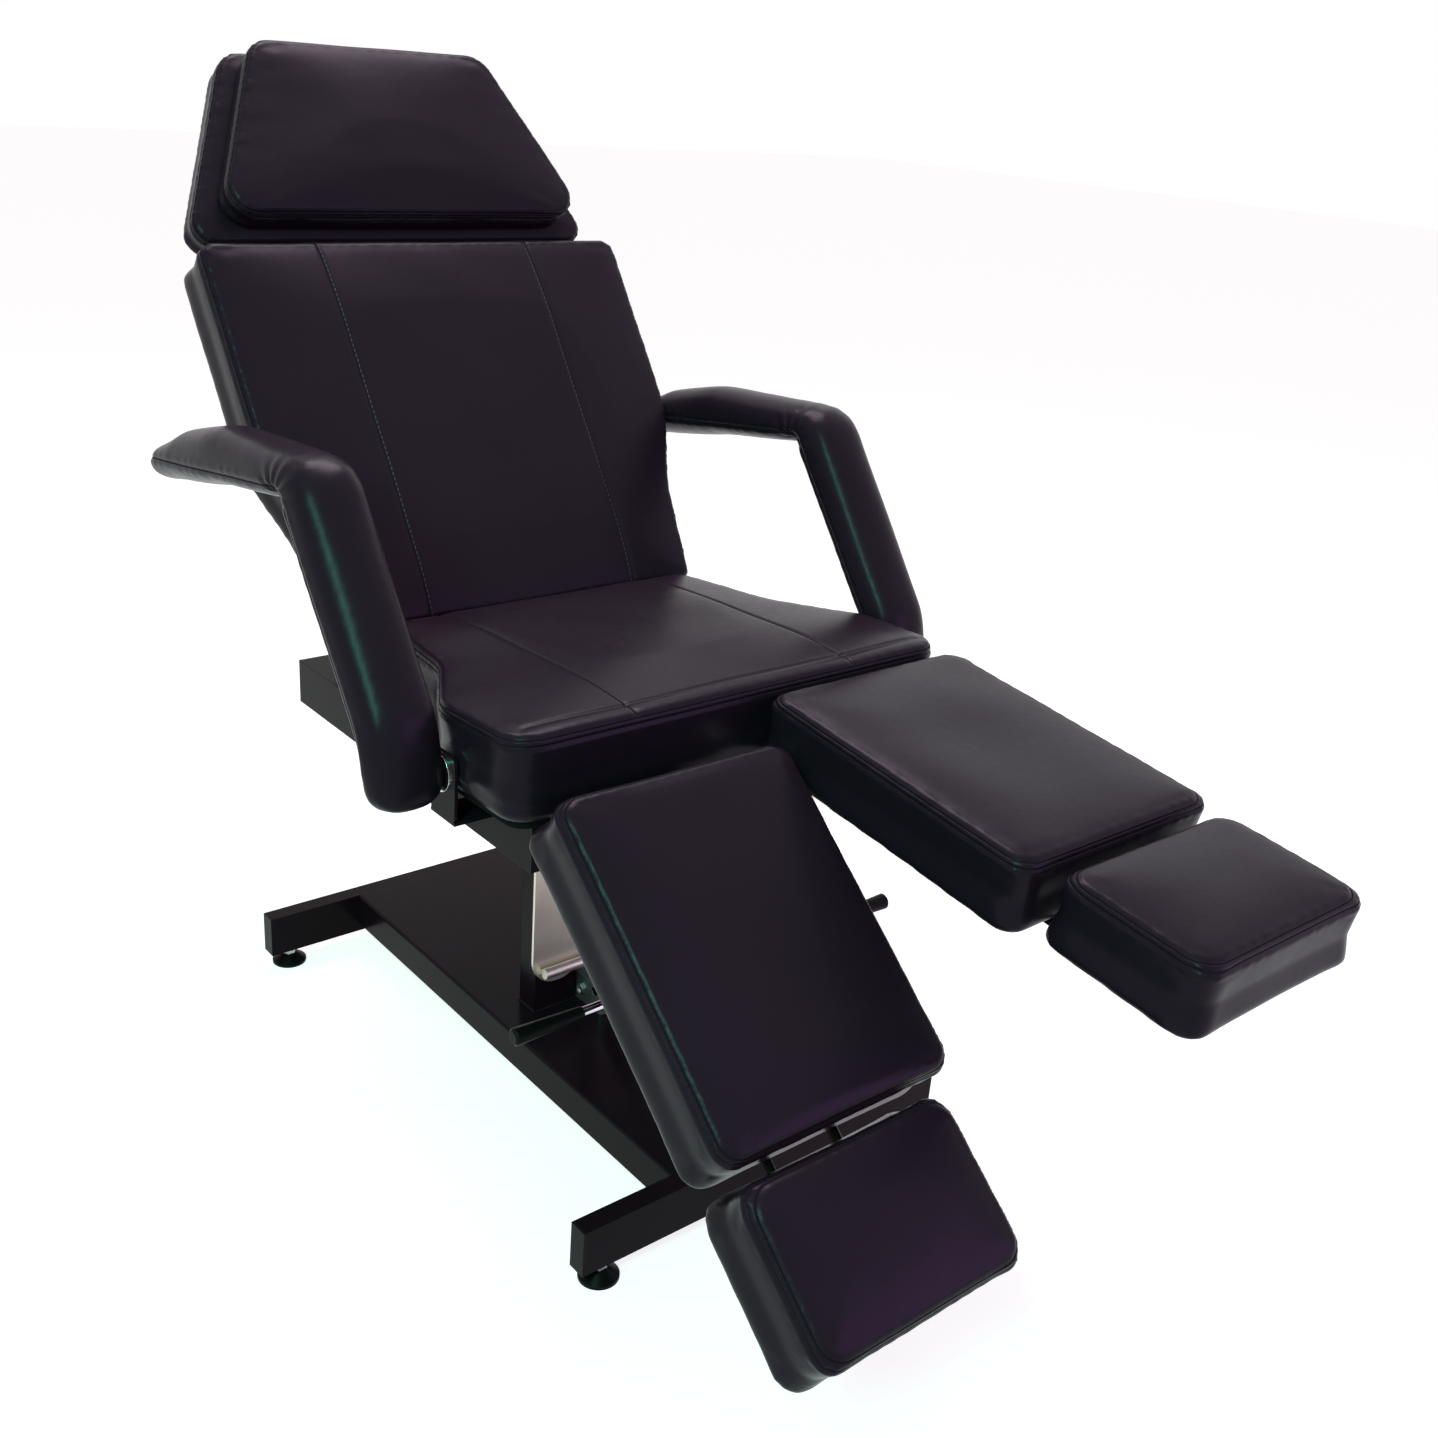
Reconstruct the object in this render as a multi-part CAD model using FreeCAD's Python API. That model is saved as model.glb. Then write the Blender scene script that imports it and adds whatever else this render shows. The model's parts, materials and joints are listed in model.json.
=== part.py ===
import FreeCAD, Part
import math
import os

# Tattoo chair with a hydraulic lift, in millimetres. X is the width, Y runs from the feet
# (negative) to the head (positive), Z is up. Sizes in Y are taken from the lift column's axis,
# and the finished pieces are moved so that the middle of the whole chair's floor area is the origin.

Vector = FreeCAD.Vector

# Base: two cross beams, side tubes and a folded cover
beam_length = 550.0
beam_width = 25.0
beam_height = 60.0
beam_wall = 2.5
beam_middle = 397.0
plug_plate = 2.0
plug_depth = 10.0
plug_gap = 0.2
foot_radius = 24.0
foot_rim = 4.0
foot_neck = 10.0
foot_height = 14.0
foot_socket = 9.0
foot_inset = 31.5
nut_flats = 17.0
nut_height = 8.0
stud_radius = 5.0
stud_top = 58.0
stud_gap = 0.05
stud_hole_gap = 0.4
cover_half = 136.0
cover_sheet = 2.5
cover_bend = 4.0
cover_drop = 48.0
side_tube_width = 30.0
side_tube_height = 40.0
side_tube_wall = 2.5
foundation_thick = 8.0
foundation_half = 95.0

# Column: two fixed posts with sliding tubes inside, pump and ram between them
post_inner = 22.0
post_width = 64.0
post_depth = 36.0
post_wall = 3.0
post_top = 400.0
post_cut_gap = 0.5
slide_gap = 0.5
lift_wall = 2.5
lift_bottom = 100.0
head_bottom = 430.0
head_thick = 10.0
head_half_width = 104.0
head_half_depth = 46.0
tongue_width = 78.0
tongue_thick = 4.0
tongue_gap = 0.4
tongue_bottom = 124.0
tongue_corner = 38.0
bar_radius = 7.5
bar_half = 80.0
bar_height = 145.0
ram_outer = 15.0
ram_radius = 10.0
ram_gap = 0.05
ram_floor = 3.0
cylinder_top = 385.0
pump_half = 17.0
pump_front = 73.0
pump_back = 40.0
pump_height = 40.0
pump_corner = 6.0

# Foot pedal: a cross bar on a single arm
pedal_y = -58.0
pedal_z = 112.0
pedal_shaft_radius = 6.0
pedal_hub_radius = 13.0
pedal_hub_half = 8.0
pedal_side_gap = 0.3
pedal_fit = 0.05
pedal_slot_floor = 13.0
pedal_slot_back = 17.0
pedal_arm_depth = 14.0
pedal_bar_y = -277.0
pedal_bar_z = 265.0
pedal_bar_radius = 6.0
pedal_eye_radius = 10.5
pedal_bar_half = 262.0
grip_outer_end = 288.0
grip_length = 92.0
grip_small = 7.5
grip_large = 10.5
grip_round = 3.0

# Swivel head
bearing_outer = 88.0
bearing_inner = 60.0
bearing_height = 18.0
spindle_radius = 20.0
spindle_rise = 12.0
spindle_fit = 0.05
swivel_thick = 8.0
swivel_half_width = 112.0
swivel_half_length = 125.0
swivel_corner = 16.0

# Seat frame
rail_inset = 36.0
rail_width = 40.0
rail_height = 57.0
rail_wall = 3.0
rail_front = -280.0
rail_back = 268.0
cross_depth = 40.0
cross_height = 30.0
cross_place = 100.0
cross_wall = 2.5
seat_board_thick = 10.0
seat_board_inset = 14.0

# Soft edges shared by all pads
pad_under = 6.0
pad_edge = 8.0
pad_draw = 3.5
pad_shoulder = 4.0
pad_crown = 6.0
pad_reach = 66.0
seam_width = 2.0
seam_depth = 2.4
smallest_radius = 1.5

# Seat cushion, drawn as half its outline from the front corner to the back
seat_front = -300.0
seat_back = 119.0
seat_front_half = 308.0
seat_flare = 4.0
seat_flare_y = -158.0
seat_waist_half = 250.0
seat_waist_y = -52.0
seat_back_half = 226.0
seat_front_corner = 38.0
seat_flare_radius = 60.0
seat_waist_radius = 120.0
seat_back_corner = 20.0
seat_thick_back = 74.0
seat_rise_angle = 2.6
seam_place = 157.0

# Backrest. Its front plane starts at the seat and leans back.
back_y = 143.0
back_z = 610.0
back_angle = 54.2
back_bottom = -15.0
back_top = 501.0
back_bottom_inset = 54.0
back_waist_inset = 38.0
back_waist = 125.0
back_flare = 1.0
back_wide = 232.0
back_waist_radius = 150.0
back_wide_radius = 110.0
back_corner = 15.0
back_thick = 79.0
back_board_thick = 10.0
back_board_inset = 10.0
back_tube = 25.0
back_tube_wall = 2.0
back_side_gap = 1.0
back_frame_bottom = -5.0
back_frame_top = 470.0
back_cross_low = 30.0
back_cross_high = 420.0

# Back hinge, in the seat's own directions
back_pivot_y = 182.0
back_pivot_z = 545.0
back_pin_radius = 6.0
back_pin_fit = 0.05
back_lug_thick = 6.0
back_lug_radius = 12.0
back_lug_gap = 0.5
back_lug_reach = 30.0
bracket_thick = 6.0
bracket_half_length = 12.0
pin_head = 4.0
pin_head_radius = 10.0

# Headrest: a thick lower cushion with a thinner pillow on it
head_y = 446.0
head_z = 1053.0
head_angle = 56.9
pillow_bottom_width = 540.0
pillow_top_half = 170.0
pillow_height = 237.0
pillow_bottom_corner = 32.0
pillow_top_corner = 38.0
pillow_thick = 44.5
head_gap = 0.3
cushion_bottom_half = 303.0
cushion_top_half = 190.0
cushion_drop = 17.0
cushion_rise = 248.0
cushion_bottom_corner = 26.0
cushion_top_corner = 42.0
cushion_thick = 50.0
head_board_thick = 10.0
head_board_inset = 16.0
head_tube = 20.0
head_tube_wall = 2.0
head_tube_top = 200.0

# Head hinge, in the backrest's own directions
head_pivot_s = 510.0
head_pivot_h = -62.0
head_hinge_place = 130.0
head_plate_thick = 5.0
head_plate_radius = 6.5
head_neck_half = 4.0
head_plate_gap = 0.5
head_plate_reach = 60.0
head_plate_width = 20.0
head_pin_radius = 3.5
head_pin_fit = 0.05

# Arms, seen from the side, as Y and Z of each corner, each with its own radius
arm_gap = 13.0
arm_width = 78.0
arm_soft = 12.0
arm_soft_run = 20.0
arm_front_foot_y = -203.0
arm_foot_z = 528.0
arm_back_foot_y = -156.0
arm_heel_y = -140.0
arm_heel_z = 598.0
arm_fold_y = 22.0
arm_fold_z = 810.0
arm_tip_low_y = 424.0
arm_tip_drop = 60.0
arm_tip_high_y = 432.0
arm_tip_depth = 27.0
arm_crest_y = 215.0
arm_crest_rise = 30.0
arm_elbow_y = -14.0
arm_elbow_rise = 46.0
arm_knee_y = -188.0
arm_knee_z = 622.0
arm_small_radius = 12.0
arm_heel_radius = 70.0
arm_fold_radius = 16.0
arm_crest_radius = 220.0
arm_elbow_radius = 58.0
arm_knee_radius = 60.0
arm_tip_round = 36.0
arm_core_inset = 10.0
arm_core_end = 400.0
arm_core_thick = 6.0
arm_core_gap = 0.2
arm_pivot_y = -178.0
arm_pivot_z = 556.0
arm_bolt_radius = 6.0
arm_bolt_fit = 0.05
arm_bolt_clear = 0.6
arm_disc_radius = 22.0
arm_disc_gap = 0.3
arm_disc_thick = 5.4
arm_bracket_thick = 4.0
arm_bracket_half = 25.0
arm_bracket_low = 500.0
arm_bracket_top = 22.0
arm_bracket_corner = 10.0

# Legs, measured from their hinge line along the leg and square to it
leg_hinge_y = -297.0
leg_hinge_z = 522.0
right_leg_angle = 6.4
left_leg_angle = 40.0
leg_inner = 12.0
leg_side_step = 3.0
leg_start = 10.4
leg_end = 387.4
leg_corner = 24.0
leg_under = 22.0
leg_thick = 80.0
leg_board_thick = 10.0
leg_board_inset = 24.0
leg_tube = 20.0
leg_tube_wall = 2.0
leg_tube_inner = 64.0
leg_tube_end_inset = 55.0
leg_tube_side = 70.0
leg_cross_low = 30.0
leg_cross_high = 200.0
leg_hub_radius = 10.0
leg_hub_extra = 4.0
leg_shaft_radius = 7.0
leg_shaft_fit = 0.05
leg_shaft_reach = 4.0
leg_bracket_thick = 6.0
leg_bracket_eye = 8.0
leg_bracket_depth = 24.0
leg_bracket_step = 8.0
leg_centre_bracket_place = 10.0
front_tube_depth = 30.0
front_tube_height = 30.0

# Foot rests, sliding out of the legs on two rods each
rest_inner = 40.0
rest_side_step = 6.0
rest_start = 414.4
rest_end = 578.4
rest_corner = 26.0
rest_thick = 78.0
rod_radius = 6.0
rod_fit = 0.05
rod_spacing = 90.0
rod_side = 37.0
rod_drop = 10.0
rod_start = 260.0
rod_end = 530.0
guide_radius = 10.0
guide_start = 232.0
guide_end = 340.0
clamp_length = 20.0
clamp_first = 440.0
clamp_second = 500.0
clamp_under = 8.0
clamp_side = 14.0

# Sizes that follow from those above
beam_bottom = foot_height + nut_height
beam_top = beam_bottom + beam_height
beam_inner = beam_middle - beam_width / 2
beam_half = beam_length / 2
foot_place = beam_half - foot_inset
cover_under = beam_top - cover_sheet
bearing_bottom = head_bottom + head_thick
swivel_bottom = bearing_bottom + bearing_height
rail_bottom = swivel_bottom + swivel_thick
rail_top = rail_bottom + rail_height
rail_outer = seat_front_half - rail_inset
rail_inner = rail_outer - rail_width
seat_under = rail_top + seat_board_thick
post_outer = post_inner + post_width
post_middle = post_inner + post_width / 2
leg_board_under = leg_under - leg_board_thick
back_wide_half = seat_front_half + back_flare
back_waist_half = back_wide_half - back_waist_inset
back_bottom_half = back_wide_half - back_bottom_inset
back_tube_outer = rail_inner - back_lug_thick - back_side_gap
leg_bracket_place = rail_inner + leg_bracket_step
leg_shaft_half = leg_bracket_place + leg_bracket_thick + leg_shaft_reach
leg_outer = seat_front_half - leg_side_step
leg_tube_outer = leg_outer - leg_tube_side
rest_outer = leg_outer - rest_side_step
rod_outer_place = leg_tube_outer - rod_side
rod_inner_place = rod_outer_place - rod_spacing
seat_flare_half = seat_front_half + seat_flare
arm_inner = seat_flare_half + arm_gap
arm_tip_low_z = arm_fold_z - arm_tip_drop
arm_tip_high_z = arm_tip_low_z + arm_tip_depth
arm_crest_z = arm_fold_z + arm_crest_rise
arm_elbow_z = arm_fold_z + arm_elbow_rise

os.makedirs("parts", exist_ok=True)
pieces = {}


def keep(name, *shapes):
    pieces[name] = shapes[0] if len(shapes) == 1 else Part.makeCompound(list(shapes))


def block(x0, x1, y0, y1, z0, z1):
    return Part.makeBox(x1 - x0, y1 - y0, z1 - z0, Vector(x0, y0, z0))


def rod(radius, start, end):
    return Part.makeCylinder(radius, end.sub(start).Length, start, end.sub(start))


def rod_x(radius, x0, x1, y, z):
    return rod(radius, Vector(x0, y, z), Vector(x1, y, z))


def mirrored(shape):
    return shape.mirror(Vector(0, 0, 0), Vector(1, 0, 0))


def both(name, shape):
    keep(name, shape, mirrored(shape))


def turned(shape, angle, y, z):
    # A piece made flat is tilted about X and set down with its own origin at y, z.
    copy = shape.copy()
    copy.rotate(Vector(0, 0, 0), Vector(1, 0, 0), angle)
    copy.translate(Vector(0, y, z))
    return copy


def from_above(height):
    return lambda u, v: Vector(u, v, height)


def from_side(x):
    return lambda u, v: Vector(x, u, v)


def from_front(y):
    return lambda u, v: Vector(u, y, v)


def outline(corners, inset, place):
    # A closed wire of lines and arcs. Corners run anticlockwise as (u, v, radius), and every
    # side is moved in by the inset, with each arc kept about its own centre. A corner without
    # a radius stays sharp.
    edges = []
    stops = []
    count = len(corners)
    for i in range(count):
        before = Vector(corners[i - 1][0], corners[i - 1][1], 0)
        here = Vector(corners[i][0], corners[i][1], 0)
        after = Vector(corners[(i + 1) % count][0], corners[(i + 1) % count][1], 0)
        come = here.sub(before).normalize()
        go = after.sub(here).normalize()
        come_side = Vector(-come.y, come.x, 0)
        go_side = Vector(-go.y, go.x, 0)
        middle = come_side.add(go_side)
        corner = here.add(middle.multiply(inset / (1 + come_side.dot(go_side))))
        turn = math.atan2(come.cross(go).z, come.dot(go))
        sign = 1 if turn > 0 else -1
        radius = max(corners[i][2] - sign * inset, smallest_radius) if corners[i][2] > 0 else 0
        run = radius * math.tan(abs(turn) / 2)
        inward = come_side.add(go_side).normalize().multiply(sign * radius * (1 / math.cos(turn / 2) - 1))
        stops.append((corner.sub(Vector(come).multiply(run)), corner.add(inward),
                      corner.add(Vector(go).multiply(run)), radius))
    for i in range(count):
        start, through, end, radius = stops[i]
        following = stops[(i + 1) % count][0]
        if radius > 0:
            arc = Part.Arc(place(start.x, start.y), place(through.x, through.y), place(end.x, end.y))
            edges.append(arc.toShape())
        edges.append(Part.LineSegment(place(end.x, end.y), place(following.x, following.y)).toShape())
    return Part.Wire(edges)


def plate(corners, inset, place, depth):
    return Part.Face(outline(corners, inset, place)).extrude(depth)


def rectangle(x0, x1, y0, y1, radius):
    return [(x1, y0, radius), (x1, y1, radius), (x0, y1, radius), (x0, y0, radius)]


def symmetric(half):
    # Half an outline, from the lowest corner up, completed with its mirror image.
    return half + [(-u, v, radius) for u, v, radius in reversed(half)]


def pad_levels(thick):
    # Inset and height of each section: drawn under, drawn in at the sides, then a narrow
    # shoulder at the welt and a crown that rises above it.
    return [(pad_under, 0), (0, pad_edge), (pad_draw, thick / 2), (0, thick - pad_shoulder),
            (pad_shoulder / 2, thick), (pad_reach / 3, thick + pad_crown * 2 / 3),
            (pad_reach, thick + pad_crown)]


def cushion(corners, thick):
    wires = [outline(corners, inset, from_above(height)) for inset, height in pad_levels(thick)]
    return Part.makeLoft(wires, True, True)


def seam(pad, place):
    # A sewn seam along Y: a narrow slot of even depth under the pad's own surface.
    room = pad.BoundBox
    middle = (room.ZMin + room.ZMax) / 2
    slot = block(place - seam_width / 2, place + seam_width / 2, room.YMin - pad_edge, room.YMax + pad_edge,
                 middle, room.ZMax + pad_edge)
    lowered = pad.copy()
    lowered.translate(Vector(0, 0, -seam_depth))
    return pad.cut(slot.cut(lowered))


def tube_x(x0, x1, y0, y1, z0, z1, wall):
    return block(x0, x1, y0, y1, z0, z1).cut(block(x0, x1, y0 + wall, y1 - wall, z0 + wall, z1 - wall))


def tube_y(x0, x1, y0, y1, z0, z1, wall):
    return block(x0, x1, y0, y1, z0, z1).cut(block(x0 + wall, x1 - wall, y0, y1, z0 + wall, z1 - wall))


def tube_z(x0, x1, y0, y1, z0, z1, wall):
    return block(x0, x1, y0, y1, z0, z1).cut(block(x0 + wall, x1 - wall, y0 + wall, y1 - wall, z0, z1))


def hexagon(flats, x, y, z0, z1):
    radius = flats / math.sqrt(3)
    turns = [math.radians(60 * i) for i in range(7)]
    points = [Vector(x + radius * math.cos(turn), y + radius * math.sin(turn), z0) for turn in turns]
    return Part.Face(Part.makePolygon(points)).extrude(Vector(0, 0, z1 - z0))


# The base
def make_cross_beam(name, side):
    middle = side * beam_middle
    tube_half = beam_half - plug_plate
    beam = tube_x(-tube_half, tube_half, middle - beam_width / 2, middle + beam_width / 2,
                  beam_bottom, beam_top, beam_wall)
    for x in (-foot_place, foot_place):
        beam = beam.cut(rod(stud_radius + stud_hole_gap, Vector(x, middle, 0), Vector(x, middle, stud_top)))
    keep(name, beam)


def make_plug(middle):
    inner = beam_half - plug_plate
    skirt = beam_wall + plug_gap
    low = middle - beam_width / 2
    high = middle + beam_width / 2
    head = block(inner, beam_half, low, high, beam_bottom, beam_top)
    body = block(inner - plug_depth, inner, low + skirt, high - skirt, beam_bottom + skirt, beam_top - skirt)
    return head.fuse(body).removeSplitter()


def make_foot(x, y):
    socket = stud_radius + stud_gap
    base = foot_height - foot_socket
    shoulder = Vector(foot_radius, 0, foot_rim)
    collar = Vector(foot_neck, 0, foot_height)
    edges = [Part.LineSegment(Vector(0, 0, 0), Vector(foot_radius, 0, 0)).toShape(),
             Part.LineSegment(Vector(foot_radius, 0, 0), shoulder).toShape(),
             Part.LineSegment(shoulder, collar).toShape(),
             Part.LineSegment(collar, Vector(socket, 0, foot_height)).toShape(),
             Part.LineSegment(Vector(socket, 0, foot_height), Vector(socket, 0, base)).toShape(),
             Part.LineSegment(Vector(socket, 0, base), Vector(0, 0, base)).toShape(),
             Part.LineSegment(Vector(0, 0, base), Vector(0, 0, 0)).toShape()]
    foot = Part.Face(Part.Wire(edges)).revolve(Vector(0, 0, 0), Vector(0, 0, 1), 360)
    foot.translate(Vector(x, y, 0))
    return foot


def make_base():
    make_cross_beam("rear_cross_beam", 1)
    make_cross_beam("front_cross_beam", -1)
    plugs = []
    feet = []
    studs = []
    nuts = []
    for y in (-beam_middle, beam_middle):
        plug = make_plug(y)
        plugs += [plug, mirrored(plug)]
        for x in (-foot_place, foot_place):
            feet.append(make_foot(x, y))
            studs.append(rod(stud_radius, Vector(x, y, foot_height - foot_socket), Vector(x, y, stud_top)))
            nut = hexagon(nut_flats, x, y, foot_height, beam_bottom)
            nuts.append(nut.cut(rod(stud_radius + stud_gap, Vector(x, y, 0), Vector(x, y, stud_top))))
    keep("beam_end_plugs", *plugs)
    keep("levelling_feet", *feet)
    keep("levelling_studs", *studs)
    keep("levelling_nuts", *nuts)

    side_outer = cover_half - cover_sheet
    tube_outer = cover_half - cover_bend
    side_inner = tube_outer - side_tube_width
    both("base_side_tubes", tube_y(side_inner, tube_outer, -beam_inner, beam_inner,
                                   cover_under - side_tube_height, cover_under, side_tube_wall))
    keep("column_foundation", block(-side_inner, side_inner, -foundation_half, foundation_half,
                                    cover_under - foundation_thick, cover_under))
    skirt = beam_top - cover_drop
    inner_bend = cover_bend - cover_sheet
    fold = [(cover_half, skirt, 0), (cover_half, beam_top, cover_bend), (-cover_half, beam_top, cover_bend),
            (-cover_half, skirt, 0), (-side_outer, skirt, 0), (-side_outer, cover_under, inner_bend),
            (side_outer, cover_under, inner_bend), (side_outer, skirt, 0)]
    cover = plate(fold, 0, from_front(-beam_inner), Vector(0, beam_inner * 2, 0))
    gap = post_cut_gap
    hole_half = post_depth / 2 + gap
    hole = block(post_inner - gap, post_outer + gap, -hole_half, hole_half, skirt, beam_top + gap)
    keep("base_cover", cover.cut(hole).cut(mirrored(hole)))


# The lift column
def make_column():
    half = post_depth / 2
    both("column_posts", tube_z(post_inner, post_outer, -half, half, cover_under, post_top, post_wall))
    inset = post_wall + slide_gap
    both("lift_tubes", tube_z(post_inner + inset, post_outer - inset, -half + inset, half - inset,
                              lift_bottom, head_bottom, lift_wall))

    tongue_left = post_middle - tongue_width / 2
    tongue_right = post_middle + tongue_width / 2
    tongue = [(tongue_right, tongue_bottom, tongue_corner), (tongue_right, head_bottom, 0),
              (tongue_left, head_bottom, 0), (tongue_left, tongue_bottom, tongue_corner)]
    tongue_back = -half - tongue_gap
    both("tongue_plates", plate(tongue, 0, from_front(tongue_back), Vector(0, -tongue_thick, 0)))
    bar_y = tongue_back - tongue_thick - bar_radius
    keep("tongue_bar", rod_x(bar_radius, -bar_half, bar_half, bar_y, bar_height))

    keep("head_plate", block(-head_half_width, head_half_width, -head_half_depth, head_half_depth,
                             head_bottom, bearing_bottom))
    ring_low = Vector(0, 0, bearing_bottom)
    ring_high = Vector(0, 0, swivel_bottom)
    ring = rod(bearing_outer, ring_low, ring_high)
    keep("swivel_bearing", ring.cut(rod(bearing_inner, ring_low, ring_high)))
    keep("swivel_spindle", rod(spindle_radius, ring_low, Vector(0, 0, rail_bottom + spindle_rise)))

    pump_top = beam_top + pump_height
    body = plate(rectangle(-pump_half, pump_half, -pump_front, pump_back, pump_corner), 0,
                 from_above(beam_top), Vector(0, 0, pump_height))
    slot_half = pedal_hub_half + pedal_side_gap
    body = body.cut(block(-slot_half, slot_half, -pump_front, pedal_y + pedal_slot_back,
                          pedal_z - pedal_slot_floor - pedal_side_gap, pump_top))
    shaft_bore = rod_x(pedal_shaft_radius + pedal_fit, -pump_half, pump_half, pedal_y, pedal_z)
    keep("pump_body", body.cut(shaft_bore))
    keep("pedal_shaft", rod_x(pedal_shaft_radius, -pump_half, pump_half, pedal_y, pedal_z))
    bore = rod(ram_radius + ram_gap, Vector(0, 0, pump_top), Vector(0, 0, cylinder_top))
    keep("ram_cylinder", rod(ram_outer, Vector(0, 0, pump_top), Vector(0, 0, cylinder_top)).cut(bore))
    keep("ram_rod", rod(ram_radius, Vector(0, 0, pump_top + ram_floor), Vector(0, 0, head_bottom)))


# The foot pedal
def make_pedal():
    reach_y = pedal_bar_y - pedal_y
    reach_z = pedal_bar_z - pedal_z
    reach = math.hypot(reach_y, reach_z)
    hub = rod_x(pedal_hub_radius, -pedal_hub_half, pedal_hub_half, 0, 0)
    eye = rod_x(pedal_eye_radius, -pedal_hub_half, pedal_hub_half, -reach, 0)
    bar = block(-pedal_hub_half, pedal_hub_half, -reach, 0, -pedal_arm_depth / 2, pedal_arm_depth / 2)
    arm = hub.fuse([bar, eye]).removeSplitter()
    arm = arm.cut(rod_x(pedal_shaft_radius + pedal_fit, -pedal_hub_half, pedal_hub_half, 0, 0))
    arm = arm.cut(rod_x(pedal_bar_radius + pedal_fit, -pedal_hub_half, pedal_hub_half, -reach, 0))
    keep("pedal_arm", turned(arm, -math.degrees(math.atan2(reach_z, -reach_y)), pedal_y, pedal_z))
    keep("pedal_bar", rod_x(pedal_bar_radius, -pedal_bar_half, pedal_bar_half, pedal_bar_y, pedal_bar_z))

    inner_end = grip_outer_end - grip_length
    grip = Part.makeCone(grip_small, grip_large, grip_length - grip_round,
                         Vector(inner_end, pedal_bar_y, pedal_bar_z), Vector(1, 0, 0))
    cap = Part.makeCone(grip_large, grip_large - grip_round, grip_round,
                        Vector(grip_outer_end - grip_round, pedal_bar_y, pedal_bar_z), Vector(1, 0, 0))
    bore = rod_x(pedal_bar_radius + pedal_fit, inner_end, pedal_bar_half, pedal_bar_y, pedal_bar_z)
    both("pedal_grips", grip.fuse(cap).cut(bore))


# The seat frame
def make_seat_frame():
    plate_corners = rectangle(-swivel_half_width, swivel_half_width,
                              -swivel_half_length, swivel_half_length, swivel_corner)
    swivel = plate(plate_corners, 0, from_above(swivel_bottom), Vector(0, 0, swivel_thick))
    hole = rod(spindle_radius + spindle_fit, Vector(0, 0, swivel_bottom), Vector(0, 0, rail_bottom))
    keep("swivel_plate", swivel.cut(hole))
    both("seat_rails", tube_y(rail_inner, rail_outer, rail_front + plug_plate, rail_back - plug_plate,
                              rail_bottom, rail_top, rail_wall))
    plugs = []
    skirt = rail_wall + plug_gap
    for end, way in ((rail_front, 1), (rail_back, -1)):
        seat = end + way * plug_plate
        deep = seat + way * plug_depth
        head = block(rail_inner, rail_outer, min(end, seat), max(end, seat), rail_bottom, rail_top)
        body = block(rail_inner + skirt, rail_outer - skirt, min(seat, deep), max(seat, deep),
                     rail_bottom + skirt, rail_top - skirt)
        plug = head.fuse(body).removeSplitter()
        plugs += [plug, mirrored(plug)]
    keep("rail_end_plugs", *plugs)
    members = []
    for y in (-cross_place, cross_place):
        members.append(tube_x(-rail_inner, rail_inner, y - cross_depth / 2, y + cross_depth / 2,
                              rail_bottom, rail_bottom + cross_height, cross_wall))
    front_back = rail_front + plug_plate + front_tube_depth
    members.append(tube_x(-rail_inner, rail_inner, rail_front + plug_plate, front_back,
                          rail_top - front_tube_height, rail_top, cross_wall))
    keep("seat_cross_members", *members)


def seat_corners():
    return symmetric([(seat_front_half, seat_front, seat_front_corner),
                      (seat_flare_half, seat_flare_y, seat_flare_radius),
                      (seat_waist_half, seat_waist_y, seat_waist_radius),
                      (seat_back_half, seat_back, seat_back_corner)])


def make_seat():
    corners = seat_corners()
    board = plate(corners, seat_board_inset, from_above(rail_top), Vector(0, 0, seat_board_thick))
    keep("seat_board", board)
    wires = []
    for inset, height in pad_levels(seat_thick_back):
        wire = outline(corners, inset, from_above(seat_under + height))
        tilt = -seat_rise_angle * height / seat_thick_back
        wire.rotate(Vector(0, seat_back, seat_under + height), Vector(1, 0, 0), tilt)
        wires.append(wire)
    pad = Part.makeLoft(wires, True, True)
    keep("seat_cushion", seam(seam(pad, seam_place), -seam_place))


# The backrest, made flat with Y up the back and Z out of its front
def make_back():
    corners = symmetric([(back_bottom_half, back_bottom, back_corner),
                         (back_waist_half, back_waist, back_waist_radius),
                         (back_wide_half, back_wide, back_wide_radius),
                         (back_wide_half, back_top, back_corner)])
    pad = cushion(corners, back_thick)
    pad.translate(Vector(0, 0, -back_thick))
    pad = seam(seam(pad, seam_place), -seam_place)
    keep("back_cushion", turned(pad, back_angle, back_y, back_z))
    board_front = -back_thick
    board_back = board_front - back_board_thick
    board = plate(corners, back_board_inset, from_above(board_back), Vector(0, 0, back_board_thick))
    keep("back_board", turned(board, back_angle, back_y, back_z))

    tube_back = board_back - back_tube
    side_inner = back_tube_outer - back_tube
    side = tube_y(side_inner, back_tube_outer, back_frame_bottom, back_frame_top,
                  tube_back, board_back, back_tube_wall)
    frame = [side, mirrored(side)]
    for s in (back_cross_low, back_cross_high):
        frame.append(tube_x(-side_inner, side_inner, s, s + back_tube,
                            tube_back, board_back, back_tube_wall))
    lug = back_lug(tube_back, board_back)
    frame += [lug, mirrored(lug)]
    keep("back_frame", *[turned(piece, back_angle, back_y, back_z) for piece in frame])


def back_local(y, z):
    angle = math.radians(back_angle)
    along = (y - back_y) * math.cos(angle) + (z - back_z) * math.sin(angle)
    out = (z - back_z) * math.cos(angle) - (y - back_y) * math.sin(angle)
    return along, out


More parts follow.
